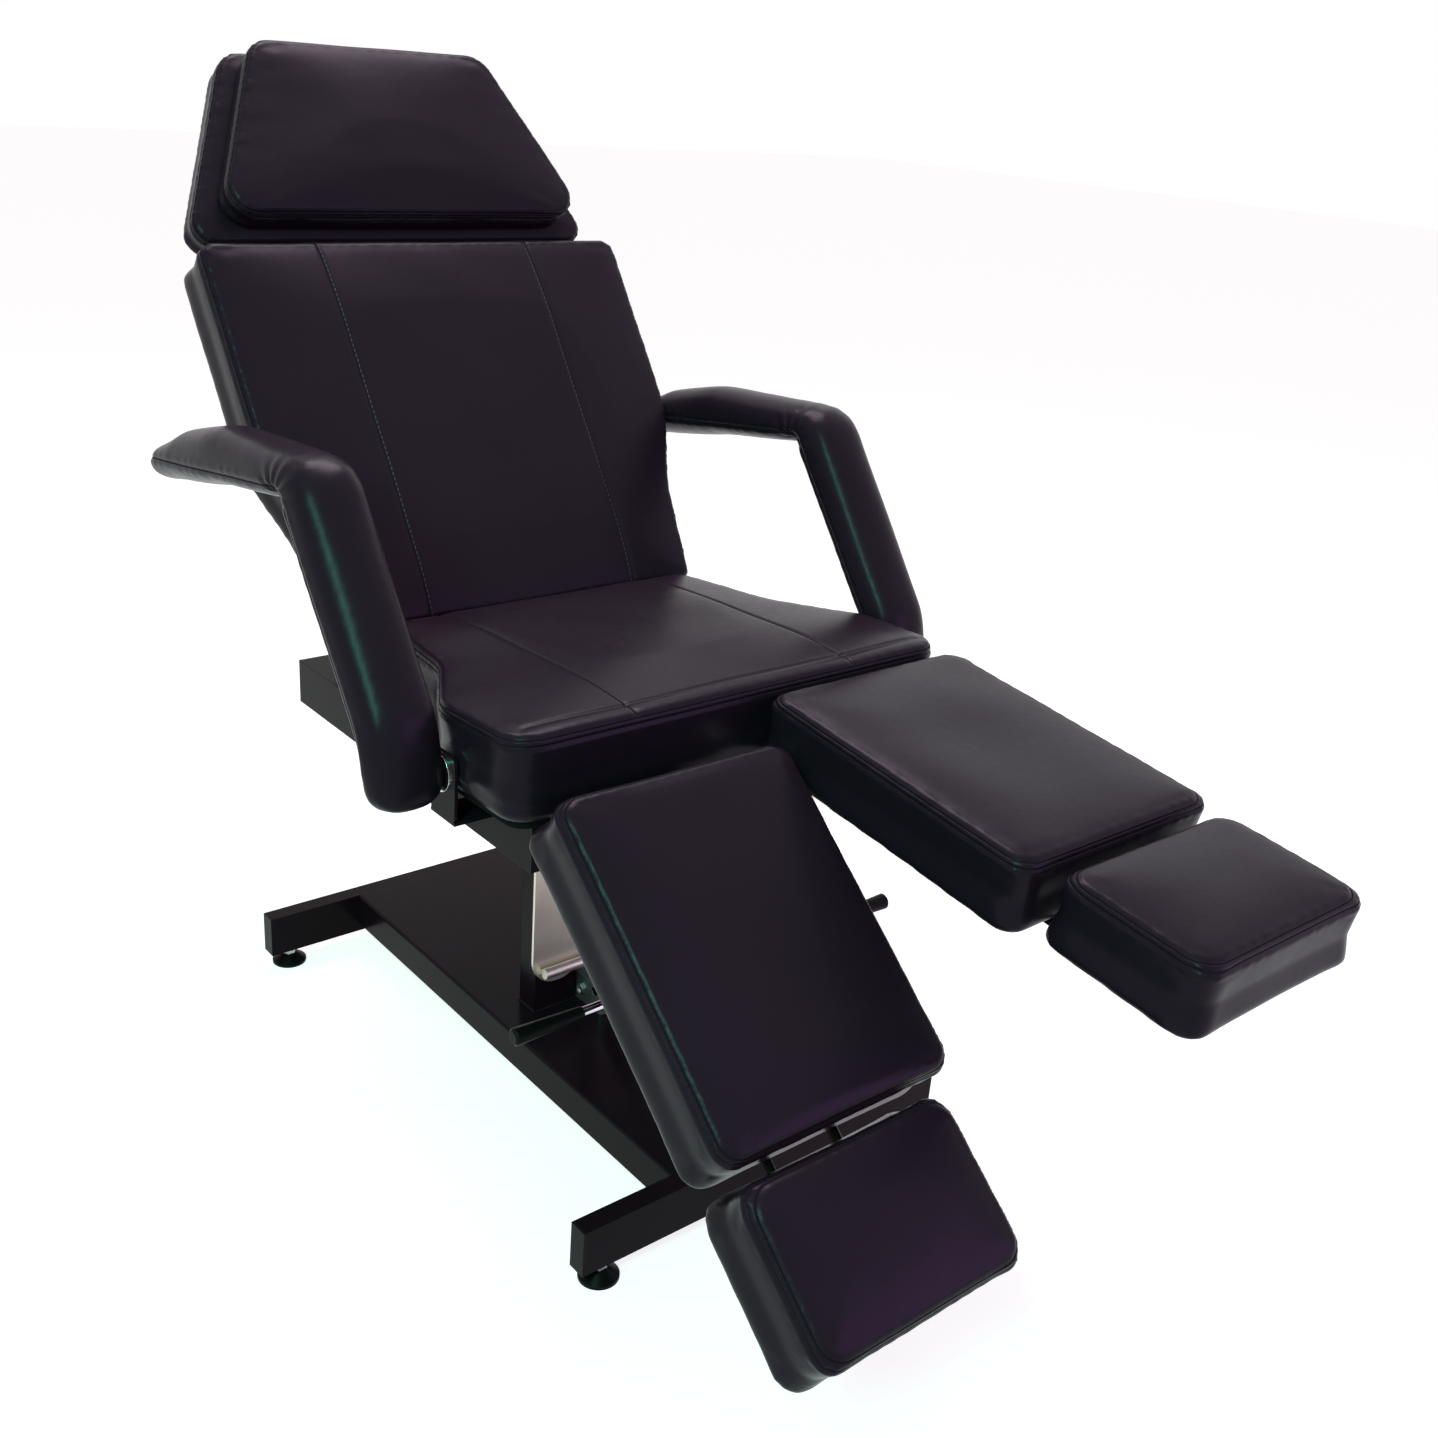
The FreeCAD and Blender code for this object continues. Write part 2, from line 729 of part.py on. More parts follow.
def back_lug(low, high):
    # A hooked plate beside the side tube that reaches round the pad's lower edge to the pivot.
    pivot_s, pivot_h = back_local(back_pivot_y, back_pivot_z)
    inner = back_tube_outer
    outer = inner + back_lug_thick
    foot = block(inner, outer, pivot_s - back_lug_radius, back_lug_reach, low, high - back_lug_gap)
    neck = block(inner, outer, pivot_s - back_lug_radius, pivot_s + back_lug_radius, low, pivot_h)
    eye = rod_x(back_lug_radius, inner, outer, pivot_s, pivot_h)
    lug = foot.fuse([neck, eye]).removeSplitter()
    return lug.cut(rod_x(back_pin_radius + back_pin_fit, inner, outer, pivot_s, pivot_h))


def make_back_hinge():
    inner = rail_inner
    outer = rail_inner + bracket_thick
    bracket = block(inner, outer, back_pivot_y - bracket_half_length, back_pivot_y + bracket_half_length,
                    rail_top, back_pivot_z)
    eye = rod_x(bracket_half_length, inner, outer, back_pivot_y, back_pivot_z)
    bracket = bracket.fuse(eye).removeSplitter()
    hole = rod_x(back_pin_radius + back_pin_fit, inner, outer, back_pivot_y, back_pivot_z)
    both("back_hinge_brackets", bracket.cut(hole))
    pin = rod_x(back_pin_radius, back_tube_outer, outer, back_pivot_y, back_pivot_z)
    head = rod_x(pin_head_radius, outer, outer + pin_head, back_pivot_y, back_pivot_z)
    both("back_hinge_pins", pin.fuse(head).removeSplitter())


# The headrest, made flat with Y up the pillow and Z out of its front
def make_head():
    pillow_corners = symmetric([(pillow_bottom_width / 2, 0, pillow_bottom_corner),
                                (pillow_top_half, pillow_height, pillow_top_corner)])
    pillow = cushion(pillow_corners, pillow_thick)
    pillow.translate(Vector(0, 0, -pillow_thick))
    keep("head_pillow", turned(pillow, head_angle, head_y, head_z))
    lower_corners = symmetric([(cushion_bottom_half, -cushion_drop, cushion_bottom_corner),
                               (cushion_top_half, cushion_rise, cushion_top_corner)])
    lower_front = -pillow_thick - head_gap
    lower = cushion(lower_corners, cushion_thick - pad_crown)
    lower.translate(Vector(0, 0, lower_front - cushion_thick))
    keep("head_cushion", turned(lower, head_angle, head_y, head_z))
    board_front = lower_front - cushion_thick
    board_back = board_front - head_board_thick
    board = plate(lower_corners, head_board_inset, from_above(board_back), Vector(0, 0, head_board_thick))
    keep("head_board", turned(board, head_angle, head_y, head_z))

    pivot_y, pivot_z = head_pivot()
    angle = math.radians(head_angle)
    along = (pivot_y - head_y) * math.cos(angle) + (pivot_z - head_z) * math.sin(angle)
    out = (pivot_z - head_z) * math.cos(angle) - (pivot_y - head_y) * math.sin(angle)
    inner = head_hinge_place
    outer = inner + head_plate_thick
    tube_back = board_back - head_tube
    frame = []
    for side in (1, -1):
        low = along - head_neck_half
        web = block(inner, outer, low, head_plate_reach, tube_back, board_back)
        neck = block(inner, outer, low, along + head_neck_half, tube_back, out)
        eye = rod_x(head_plate_radius, inner, outer, along, out)
        arm = web.fuse([neck, eye]).removeSplitter()
        arm = arm.cut(rod_x(head_pin_radius + head_pin_fit, inner, outer, along, out))
        tube = tube_y(inner - head_tube, inner, -cushion_drop + head_board_inset, head_tube_top,
                      tube_back, board_back, head_tube_wall)
        frame += [arm, tube] if side > 0 else [mirrored(arm), mirrored(tube)]
    low_place = head_plate_reach
    frame.append(tube_x(-inner + head_tube, inner - head_tube, low_place, low_place + head_tube,
                        tube_back, board_back, head_tube_wall))
    keep("head_frame", *[turned(piece, head_angle, head_y, head_z) for piece in frame])


def head_pivot():
    angle = math.radians(back_angle)
    y = back_y + head_pivot_s * math.cos(angle) - head_pivot_h * math.sin(angle)
    z = back_z + head_pivot_s * math.sin(angle) + head_pivot_h * math.cos(angle)
    return y, z


def make_head_hinge():
    # Plates on the back frame that reach forward over the pad's top edge, with their pins.
    inner = head_hinge_place + head_plate_thick + head_plate_gap
    outer = inner + head_plate_thick
    tube_front = -back_thick - back_board_thick
    low = back_cross_high + back_tube
    web = block(inner, outer, low, head_pivot_s + head_neck_half,
                tube_front - head_plate_width, tube_front - head_plate_gap)
    neck = block(inner, outer, head_pivot_s - head_neck_half, head_pivot_s + head_neck_half,
                 tube_front - head_plate_width, head_pivot_h)
    eye = rod_x(head_plate_radius, inner, outer, head_pivot_s, head_pivot_h)
    arm = web.fuse([neck, eye]).removeSplitter()
    arm = arm.cut(rod_x(head_pin_radius + head_pin_fit, inner, outer, head_pivot_s, head_pivot_h))
    arm = turned(arm, back_angle, back_y, back_z)
    both("head_hinge_arms", arm)
    pin = rod_x(head_pin_radius, head_hinge_place, outer, head_pivot_s, head_pivot_h)
    head = rod_x(head_plate_radius, outer, outer + pin_head, head_pivot_s, head_pivot_h)
    both("head_hinge_pins", turned(pin.fuse(head).removeSplitter(), back_angle, back_y, back_z))


# The arms
def arm_corners():
    return [(arm_front_foot_y, arm_foot_z, arm_small_radius),
            (arm_back_foot_y, arm_foot_z, arm_small_radius),
            (arm_heel_y, arm_heel_z, arm_heel_radius), (arm_fold_y, arm_fold_z, arm_fold_radius),
            (arm_tip_low_y, arm_tip_low_z, arm_small_radius),
            (arm_tip_high_y, arm_tip_high_z, arm_small_radius),
            (arm_crest_y, arm_crest_z, arm_crest_radius), (arm_elbow_y, arm_elbow_z, arm_elbow_radius),
            (arm_knee_y, arm_knee_z, arm_knee_radius)]


def arm_core_corners():
    # The core follows the pad's outline and stops short of its tip.
    corners = arm_corners()
    low_share = (arm_core_end - arm_fold_y) / (arm_tip_low_y - arm_fold_y)
    high_share = (arm_core_end - arm_crest_y) / (arm_tip_high_y - arm_crest_y)
    low_z = arm_fold_z + (arm_tip_low_z - arm_fold_z) * low_share
    high_z = arm_crest_z + (arm_tip_high_z - arm_crest_z) * high_share
    corners[4] = (arm_core_end, low_z, arm_small_radius)
    corners[5] = (arm_core_end, high_z, arm_small_radius)
    return corners


def make_arm():
    corners = arm_corners()
    outer = arm_inner + arm_width
    sections = [(arm_soft, 0), (0, arm_soft_run), (0, arm_width - arm_soft_run), (arm_soft, arm_width)]
    wires = [outline(corners, inset, from_side(arm_inner + x)) for inset, x in sections]
    pad = Part.makeLoft(wires, True, True)
    # The rest's free end is rounded as seen from above; the front end keeps its square corners.
    tip = [(outer, arm_front_foot_y, 0), (outer, arm_tip_high_y, arm_tip_round),
           (arm_inner, arm_tip_high_y, arm_tip_round), (arm_inner, arm_front_foot_y, 0)]
    pad = pad.common(plate(tip, 0, from_above(0), Vector(0, 0, arm_elbow_z)))

    middle = arm_inner + arm_width / 2
    core_start = middle - arm_core_thick / 2
    core_end = middle + arm_core_thick / 2
    core_outline = arm_core_corners()
    core = plate(core_outline, arm_core_inset, from_side(core_start), Vector(arm_core_thick, 0, 0))
    gap = arm_core_gap
    pocket_depth = Vector(arm_core_thick + gap * 2, 0, 0)
    pad = pad.cut(plate(core_outline, arm_core_inset - gap, from_side(core_start - gap), pocket_depth))
    bolt_end = core_end + arm_bracket_thick
    room_end = bolt_end + arm_bolt_clear
    pad = pad.cut(rod_x(arm_bolt_radius + arm_bolt_clear, arm_inner, room_end, arm_pivot_y, arm_pivot_z))
    core = core.cut(rod_x(arm_bolt_radius + arm_bolt_fit, core_start, core_end, arm_pivot_y, arm_pivot_z))
    keep("right_arm_pad", pad)
    keep("left_arm_pad", mirrored(pad))
    keep("right_arm_core", core)
    keep("left_arm_core", mirrored(core))

    disc_end = arm_inner - arm_disc_gap
    disc_start = disc_end - arm_disc_thick
    disc = rod_x(arm_disc_radius, disc_start, disc_end, arm_pivot_y, arm_pivot_z)
    shank = rod_x(arm_bolt_radius, disc_start - arm_bracket_thick, bolt_end, arm_pivot_y, arm_pivot_z)
    both("arm_pivot_bolts", disc.fuse(shank).removeSplitter())
    bracket_in = disc_start - arm_bracket_thick
    side_view = rectangle(arm_pivot_y - arm_bracket_half, arm_pivot_y + arm_bracket_half,
                          arm_bracket_low, arm_pivot_z + arm_bracket_top, arm_bracket_corner)
    upright = plate(side_view, 0, from_side(bracket_in), Vector(arm_bracket_thick, 0, 0))
    shelf = block(rail_outer, disc_start, arm_pivot_y - arm_bracket_half, arm_pivot_y + arm_bracket_half,
                  arm_bracket_low, arm_bracket_low + arm_bracket_thick)
    bracket = upright.fuse(shelf).removeSplitter()
    hole = rod_x(arm_bolt_radius + arm_bolt_fit, bracket_in, disc_start, arm_pivot_y, arm_pivot_z)
    both("arm_brackets", bracket.cut(hole))


# A leg, made flat along -Y from its hinge at the origin, for the right side
def leg_pieces():
    pad = cushion(rectangle(leg_inner, leg_outer, -leg_end, -leg_start, leg_corner), leg_thick)
    pad.translate(Vector(0, 0, leg_under))
    board = plate(rectangle(leg_inner, leg_outer, -leg_end, -leg_start, leg_corner), leg_board_inset,
                  from_above(leg_board_under), Vector(0, 0, leg_board_thick))
    low = leg_board_under - leg_tube
    frame = []
    for inner in (leg_tube_inner, leg_tube_outer - leg_tube):
        outer = inner + leg_tube
        hub = rod_x(leg_hub_radius, inner - leg_hub_extra, outer + leg_hub_extra, 0, 0)
        tube = tube_y(inner, outer, -leg_end + leg_tube_end_inset, -leg_hub_radius / 2,
                      low, leg_board_under, leg_tube_wall)
        bore = rod_x(leg_shaft_radius + leg_shaft_fit, inner - leg_hub_extra, outer + leg_hub_extra, 0, 0)
        frame.append(hub.fuse(tube).cut(bore))
    for s in (leg_cross_low, leg_cross_high):
        frame.append(tube_x(leg_tube_inner + leg_tube, leg_tube_outer - leg_tube, -s - leg_tube, -s,
                            low, leg_board_under, leg_tube_wall))
    height = leg_board_under - rod_drop
    for x in (rod_inner_place, rod_outer_place):
        start = Vector(x, -guide_start, height)
        end = Vector(x, -guide_end, height)
        frame.append(rod(guide_radius, start, end).cut(rod(rod_radius + rod_fit, start, end)))
    return pad, board, Part.makeCompound(frame)


def foot_pieces():
    pad = cushion(rectangle(rest_inner, rest_outer, -rest_end, -rest_start, rest_corner), rest_thick)
    pad.translate(Vector(0, 0, leg_under))
    board = plate(rectangle(rest_inner, rest_outer, -rest_end, -rest_start, rest_corner), leg_board_inset,
                  from_above(leg_board_under), Vector(0, 0, leg_board_thick))
    height = leg_board_under - rod_drop
    slides = []
    for x in (rod_inner_place, rod_outer_place):
        slides.append(rod(rod_radius, Vector(x, -rod_start, height), Vector(x, -rod_end, height)))
    for s in (clamp_first, clamp_second):
        clamp = block(rod_inner_place - clamp_side, rod_outer_place + clamp_side, -s - clamp_length, -s,
                      height - clamp_under, leg_board_under)
        for x in (rod_inner_place, rod_outer_place):
            bore = rod(rod_radius + rod_fit, Vector(x, -s, height), Vector(x, -s - clamp_length, height))
            clamp = clamp.cut(bore)
        slides.append(clamp)
    return pad, board, Part.makeCompound(slides)


def make_legs():
    pad, board, frame = leg_pieces()
    rest_pad, rest_board, slide = foot_pieces()
    for side, tilt in (("right", right_leg_angle), ("left", left_leg_angle)):
        named = (("leg_pad", pad), ("leg_board", board), ("leg_frame", frame),
                 ("foot_pad", rest_pad), ("foot_board", rest_board), ("foot_slide", slide))
        for name, shape in named:
            piece = shape if side == "right" else mirrored(shape)
            keep(side + "_" + name, turned(piece, tilt, leg_hinge_y, leg_hinge_z))


def make_leg_hinge():
    shaft = rod_x(leg_shaft_radius, -leg_shaft_half, leg_shaft_half, leg_hinge_y, leg_hinge_z)
    keep("leg_hinge_shaft", shaft)
    brackets = []
    tube_face = rail_front + plug_plate
    for place, back in ((leg_bracket_place, rail_front), (leg_centre_bracket_place, tube_face)):
        end = place + leg_bracket_thick
        arm = block(place, end, leg_hinge_y, back, leg_hinge_z - leg_bracket_depth, leg_hinge_z)
        arm = arm.fuse(rod_x(leg_bracket_eye, place, end, leg_hinge_y, leg_hinge_z)).removeSplitter()
        arm = arm.cut(rod_x(leg_shaft_radius + leg_shaft_fit, place, end, leg_hinge_y, leg_hinge_z))
        brackets += [arm, mirrored(arm)]
    keep("leg_hinge_brackets", *brackets)


make_base()
make_column()
make_pedal()
make_seat_frame()
make_seat()
make_back()
make_back_hinge()
make_head()
make_head_hinge()
make_arm()
make_legs()
make_leg_hinge()

# The origin goes to the middle of the chair's length, on the floor.
low = min(shape.optimalBoundingBox(False, False).YMin for shape in pieces.values())
high = max(shape.optimalBoundingBox(False, False).YMax for shape in pieces.values())
shift = -(low + high) / 2
for name, shape in pieces.items():
    shape.translate(Vector(0, shift, 0))
    shape.exportStep("parts/" + name + ".step")
print("pieces", len(pieces), "length", round(high - low, 1), "shift", round(shift, 3))
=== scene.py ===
import json
import math

import bpy
import numpy as np
from mathutils import Matrix, Vector


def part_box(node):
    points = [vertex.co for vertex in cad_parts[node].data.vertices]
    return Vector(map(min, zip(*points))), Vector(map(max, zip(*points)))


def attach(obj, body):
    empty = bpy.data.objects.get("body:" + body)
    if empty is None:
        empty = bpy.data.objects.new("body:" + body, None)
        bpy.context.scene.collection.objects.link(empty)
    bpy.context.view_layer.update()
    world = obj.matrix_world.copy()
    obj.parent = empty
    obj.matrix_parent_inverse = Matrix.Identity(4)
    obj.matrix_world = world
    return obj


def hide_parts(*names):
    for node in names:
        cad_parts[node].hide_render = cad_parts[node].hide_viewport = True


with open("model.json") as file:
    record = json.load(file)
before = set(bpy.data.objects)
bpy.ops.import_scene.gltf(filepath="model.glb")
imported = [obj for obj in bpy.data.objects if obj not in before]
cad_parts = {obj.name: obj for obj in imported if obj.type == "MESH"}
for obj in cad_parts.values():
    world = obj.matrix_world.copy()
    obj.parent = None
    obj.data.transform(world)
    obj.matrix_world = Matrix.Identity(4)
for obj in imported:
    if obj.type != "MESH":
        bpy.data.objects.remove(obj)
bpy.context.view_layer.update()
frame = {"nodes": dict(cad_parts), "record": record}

scene = bpy.context.scene
nodes = frame["nodes"]
ramLow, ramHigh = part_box("ram_rod")
columnY = (ramLow.y + ramHigh.y) / 2      # the lift column's axis, which all places are taken from
print("frame loaded:", len(nodes), "nodes")


def deselectAll():
    if bpy.context.object and bpy.context.object.mode != "OBJECT":
        bpy.ops.object.mode_set(mode="OBJECT")
    bpy.ops.object.select_all(action="DESELECT")


def pick(piece):
    deselectAll()
    piece.select_set(True)
    bpy.context.view_layer.objects.active = piece


# camera

cameraLook = {
    "lens": 39.0,                                # mm on a 36 mm sensor
    "place": (-1.080, -1.4936, 1.260),           # from the column's axis on the floor
    "right": (0.77287, -0.63043, 0.07229),
    "up": (0.19153, 0.34037, 0.92057),
    "forward": (0.60496, 0.69764, -0.38381),
}


def makeCamera():
    look = cameraLook
    data = bpy.data.cameras.new("camera")
    data.lens = look["lens"]
    data.sensor_width = 36
    camera = bpy.data.objects.new("camera", data)
    scene.collection.objects.link(camera)
    x, y, z = look["place"]
    right, up, back = Vector(look["right"]), Vector(look["up"]), -Vector(look["forward"])
    turn = Matrix((right, up, back)).transposed().to_4x4()
    camera.matrix_world = Matrix.Translation((x, y + columnY, z)) @ turn
    scene.camera = camera


makeCamera()
print("camera placed")

# materials


def hexColour(text):
    parts = [int(text[i:i + 2], 16) / 255 for i in (1, 3, 5)]
    return tuple(c / 12.92 if c <= 0.04045 else ((c + 0.055) / 1.055) ** 2.4 for c in parts) + (1.0,)


def addNode(tree, kind, settings=None, links=None):
    node = tree.nodes.new(kind)
    for key, value in (settings or {}).items():
        if isinstance(key, int) or key in node.inputs:
            node.inputs[key].default_value = value
        else:
            setattr(node, key, value)
    for key, source in (links or {}).items():
        tree.links.new(source, node.inputs[key])
    return node


def newMaterial(name):
    material = bpy.data.materials.new(name)
    material.use_nodes = True
    material.node_tree.nodes.clear()
    return material, material.node_tree


def finishMaterial(tree, surface):
    addNode(tree, "ShaderNodeOutputMaterial", None, {"Surface": surface.outputs[0]})


leatherLook = {
    "dark": "#180f19", "light": "#221621",      # two close tones, as dyed hide varies over a metre
    "ior": 1.18, "tint": "#f0d6f2",             # a matt, open top coat with a trace of purple in its shine
    "rough": (0.25, 0.36), "seamRough": 0.6,    # no light comes back out of a seam
    "mottle": 260.0,                            # mm across one patch of tone
    "grain": 1.7,                               # mm between pores; real grain is near 1 mm
    "unevenScale": 90.0,                        # soft dents about 11 mm across
    "weltPlace": 3.2,                           # mm from the middle of the welt to the needle line
    "seamSharp": -1.3,                          # a seam line is about 1 mm wide
    "stitchPitch": 7.0, "stitchShare": 0.6,     # mm; real stitches are 4 mm apart, drawn longer to show
    "stitchPlace": -2.8, "stitchWidth": (0.8, 0.3),
    "thread": "#4c4652",
    "pebble": {"Strength": 0.35, "Distance": 0.00012},      # bump depths are in metres
    "uneven": {"Strength": 0.25, "Distance": 0.0006},
    "seam": {"Strength": 0.9, "Distance": 0.0016, "invert": True},
    "stitch": {"Strength": 0.7, "Distance": 0.0006},
}


def makeLeather():
    # Polyurethane-coated upholstery leather, embossed and rolled: nearly black, smooth to the hand,
    # with broad soft highlights and a fine pebble that only shows close by.
    look = leatherLook
    material, tree = newMaterial("coatedLeather")
    place = addNode(tree, "ShaderNodeTexCoord").outputs["Object"]
    mottle = addNode(tree, "ShaderNodeTexNoise", {"Scale": 1000 / look["mottle"], "Detail": 3.0},
                     {"Vector": place})
    hide = addNode(tree, "ShaderNodeMix",
                   {"data_type": "RGBA", 6: hexColour(look["dark"]), 7: hexColour(look["light"])},
                   {0: mottle.outputs[0]})
    # the welt round each face is a thin bead with a needle line sunk on both sides of it
    welt = addNode(tree, "ShaderNodeAttribute", {"attribute_name": "seamAcross"})
    weltSide = addNode(tree, "ShaderNodeMath", {"operation": "ABSOLUTE"}, {0: welt.outputs["Fac"]})
    weltGap = addNode(tree, "ShaderNodeMath", {"operation": "SUBTRACT", 1: look["weltPlace"]},
                      {0: weltSide.outputs[0]})
    # the panels of seat and back meet in one plain seam; on the back its thread shows beside it
    panel = addNode(tree, "ShaderNodeAttribute", {"attribute_name": "panelAcross"})
    along = addNode(tree, "ShaderNodeAttribute", {"attribute_name": "panelAlong"})
    sewn = addNode(tree, "ShaderNodeAttribute", {"attribute_name": "threadShown"})
    lines = []
    for gap in (weltGap.outputs[0], panel.outputs["Fac"]):
        squared = addNode(tree, "ShaderNodeMath", {"operation": "MULTIPLY"}, {0: gap, 1: gap})
        narrowed = addNode(tree, "ShaderNodeMath", {"operation": "MULTIPLY", 1: look["seamSharp"]},
                           {0: squared.outputs[0]})
        lines.append(addNode(tree, "ShaderNodeMath", {"operation": "EXPONENT"}, {0: narrowed.outputs[0]}))
    groove = addNode(tree, "ShaderNodeMath", {"operation": "MAXIMUM"},
                     {0: lines[0].outputs[0], 1: lines[1].outputs[0]})
    offset = addNode(tree, "ShaderNodeMath", {"operation": "SUBTRACT", 1: look["stitchPlace"]},
                     {0: panel.outputs["Fac"]})
    width = addNode(tree, "ShaderNodeMath", {"operation": "ABSOLUTE"}, {0: offset.outputs[0]})
    wide, narrow = look["stitchWidth"]
    row = addNode(tree, "ShaderNodeMapRange",
                  {"From Min": wide, "From Max": narrow, "interpolation_type": "SMOOTHSTEP"},
                  {"Value": width.outputs[0], "To Max": sewn.outputs["Fac"]})
    steps = addNode(tree, "ShaderNodeMath", {"operation": "DIVIDE", 1: look["stitchPitch"]},
                    {0: along.outputs["Fac"]})
    part = addNode(tree, "ShaderNodeMath", {"operation": "FRACT"}, {0: steps.outputs[0]})
    dash = addNode(tree, "ShaderNodeMath", {"operation": "LESS_THAN", 1: look["stitchShare"]},
                   {0: part.outputs[0]})
    stitch = addNode(tree, "ShaderNodeMath", {"operation": "MULTIPLY"},
                     {0: row.outputs[0], 1: dash.outputs[0]})
    colour = addNode(tree, "ShaderNodeMix", {"data_type": "RGBA", 7: hexColour(look["thread"])},
                     {0: stitch.outputs[0], 6: hide.outputs[2]})
    pores = addNode(tree, "ShaderNodeTexVoronoi", {"Scale": 1000 / look["grain"], "feature": "SMOOTH_F1"},
                    {"Vector": place})
    soft = addNode(tree, "ShaderNodeTexNoise", {"Scale": look["unevenScale"], "Detail": 4.0},
                   {"Vector": place})
    pebble = addNode(tree, "ShaderNodeBump", look["pebble"], {"Height": pores.outputs[0]})
    uneven = addNode(tree, "ShaderNodeBump", look["uneven"],
                     {"Height": soft.outputs[0], "Normal": pebble.outputs[0]})
    seamBump = addNode(tree, "ShaderNodeBump", look["seam"],
                       {"Height": groove.outputs[0], "Normal": uneven.outputs[0]})
    threadBump = addNode(tree, "ShaderNodeBump", look["stitch"],
                         {"Height": stitch.outputs[0], "Normal": seamBump.outputs[0]})
    sheen = addNode(tree, "ShaderNodeMapRange", {"To Min": look["rough"][0], "To Max": look["rough"][1]},
                    {"Value": soft.outputs[0]})
    rough = addNode(tree, "ShaderNodeMath",
                    {"operation": "MULTIPLY_ADD", 1: look["seamRough"], "use_clamp": True},
                    {0: groove.outputs[0], 2: sheen.outputs[0]})
    surface = addNode(tree, "ShaderNodeBsdfPrincipled",
                      {"IOR": look["ior"], "Specular Tint": hexColour(look["tint"])},
                      {"Base Color": colour.outputs[2], "Roughness": rough.outputs[0],
                       "Normal": threadBump.outputs[0]})
    finishMaterial(tree, surface)
    return material


rigidLooks = {
    # Gloss enamel sprayed on mild steel: deep black with a faint orange peel and soft bright edges.
    "black_painted_steel": {"name": "glossEnamel", "tones": ("#190d14", "#22131b"), "metal": 0.0,
                            "ior": 1.12, "rough": (0.16, 0.26), "patch": 120.0, "bumpSize": 3.5,
                            "bump": 0.00006, "edge": 0.0012},
    # Cold-rolled stainless, ground along its length: warm grey with long fine scratches.
    "stainless_steel": {"name": "groundStainless", "tones": ("#d6cabf", "#e6dbd0"), "metal": 1.0,
                        "rough": (0.34, 0.5), "patch": 90.0, "bumpSize": 0.9, "bump": 0.00002,
                        "edge": 0.0008, "streak": (1.0, 1.0, 0.03)},
    # Bright chromium plate: near mirror, only slightly dulled by handling.
    "chrome": {"name": "brightChromium", "tones": ("#c9cacc", "#dcdddf"), "metal": 1.0,
               "rough": (0.05, 0.14), "patch": 60.0, "bumpSize": 6.0, "bump": 0.00001, "edge": 0.0008},
    # Moulded polyamide: black, satin, with the faint texture of the mould.
    "black_plastic": {"name": "mouldedNylon", "tones": ("#0a090b", "#110f12"), "metal": 0.0, "ior": 1.15,
                      "rough": (0.3, 0.42), "patch": 40.0, "bumpSize": 0.8, "bump": 0.00004,
                      "edge": 0.0010},
    # Dipped vinyl grip: black, slightly glossy, softly uneven.
    "grip_rubber": {"name": "dippedVinyl", "tones": ("#0b090b", "#131013"), "metal": 0.0, "ior": 1.15,
                    "rough": (0.3, 0.45), "patch": 30.0, "bumpSize": 4.0, "bump": 0.0001,
                    "edge": 0.0010},
    # Birch plywood behind a black non-woven dust cover: dull, fibrous, no gloss.
    "plywood": {"name": "dustCoverCloth", "tones": ("#100e11", "#19161a"), "metal": 0.0, "ior": 1.15,
                "rough": (0.85, 0.97), "patch": 25.0, "bumpSize": 0.7, "bump": 0.00015,
                "edge": 0.0015},
    # Sand-cast aluminium, machined on its seats: pale grey with a faint grain.
    "cast_aluminium": {"name": "castAluminium", "tones": ("#85868a", "#9c9da1"), "metal": 1.0,
                       "rough": (0.38, 0.55), "patch": 30.0, "bumpSize": 1.2, "bump": 0.00008,
                       "edge": 0.0010},
    # Bright zinc plate on turned steel: cool, satin, slightly cloudy.
    "zinc_plated_steel": {"name": "zincPlate", "tones": ("#9fa3a8", "#b6babd"), "metal": 1.0,
                          "rough": (0.26, 0.4), "patch": 12.0, "bumpSize": 1.0, "bump": 0.00003,
                          "edge": 0.0006},
}


def makeRigid(look):
    material, tree = newMaterial(look["name"])
    place = addNode(tree, "ShaderNodeTexCoord")
    stretch = addNode(tree, "ShaderNodeMapping", {"Scale": look.get("streak", (1.0, 1.0, 1.0))},
                      {"Vector": place.outputs["Object"]})
    patches = addNode(tree, "ShaderNodeTexNoise", {"Scale": 1000 / look["patch"], "Detail": 5.0},
                      {"Vector": place.outputs["Object"]})
    fine = addNode(tree, "ShaderNodeTexNoise", {"Scale": 1000 / look["bumpSize"], "Detail": 2.0},
                   {"Vector": stretch.outputs[0]})
    colour = addNode(tree, "ShaderNodeMix",
                     {"data_type": "RGBA", 6: hexColour(look["tones"][0]), 7: hexColour(look["tones"][1])},
                     {0: patches.outputs[0]})
    rough = addNode(tree, "ShaderNodeMapRange", {"To Min": look["rough"][0], "To Max": look["rough"][1]},
                    {"Value": patches.outputs[0]})
    edge = addNode(tree, "ShaderNodeBevel", {"samples": 4, "Radius": look["edge"]})
    bump = addNode(tree, "ShaderNodeBump", {"Strength": 0.5, "Distance": look["bump"]},
                   {"Height": fine.outputs[0], "Normal": edge.outputs[0]})
    surface = addNode(tree, "ShaderNodeBsdfPrincipled",
                      {"Metallic": look["metal"], "IOR": look.get("ior", 1.5)},
                      {"Base Color": colour.outputs[2], "Roughness": rough.outputs[0],
                       "Normal": bump.outputs[0]})
    finishMaterial(tree, surface)
    return material


leather = makeLeather()
rigid = {slot: makeRigid(look) for slot, look in rigidLooks.items()}
for part in frame["record"]["subparts"]:
    node = nodes[part["node"]]
    node.data.materials.clear()
    node.data.materials.append(rigid.get(part["material_slot"], leather))
print("materials made:", len(bpy.data.materials))

# pads: each starts as a copy of its solid, is inflated as cloth and then sewn

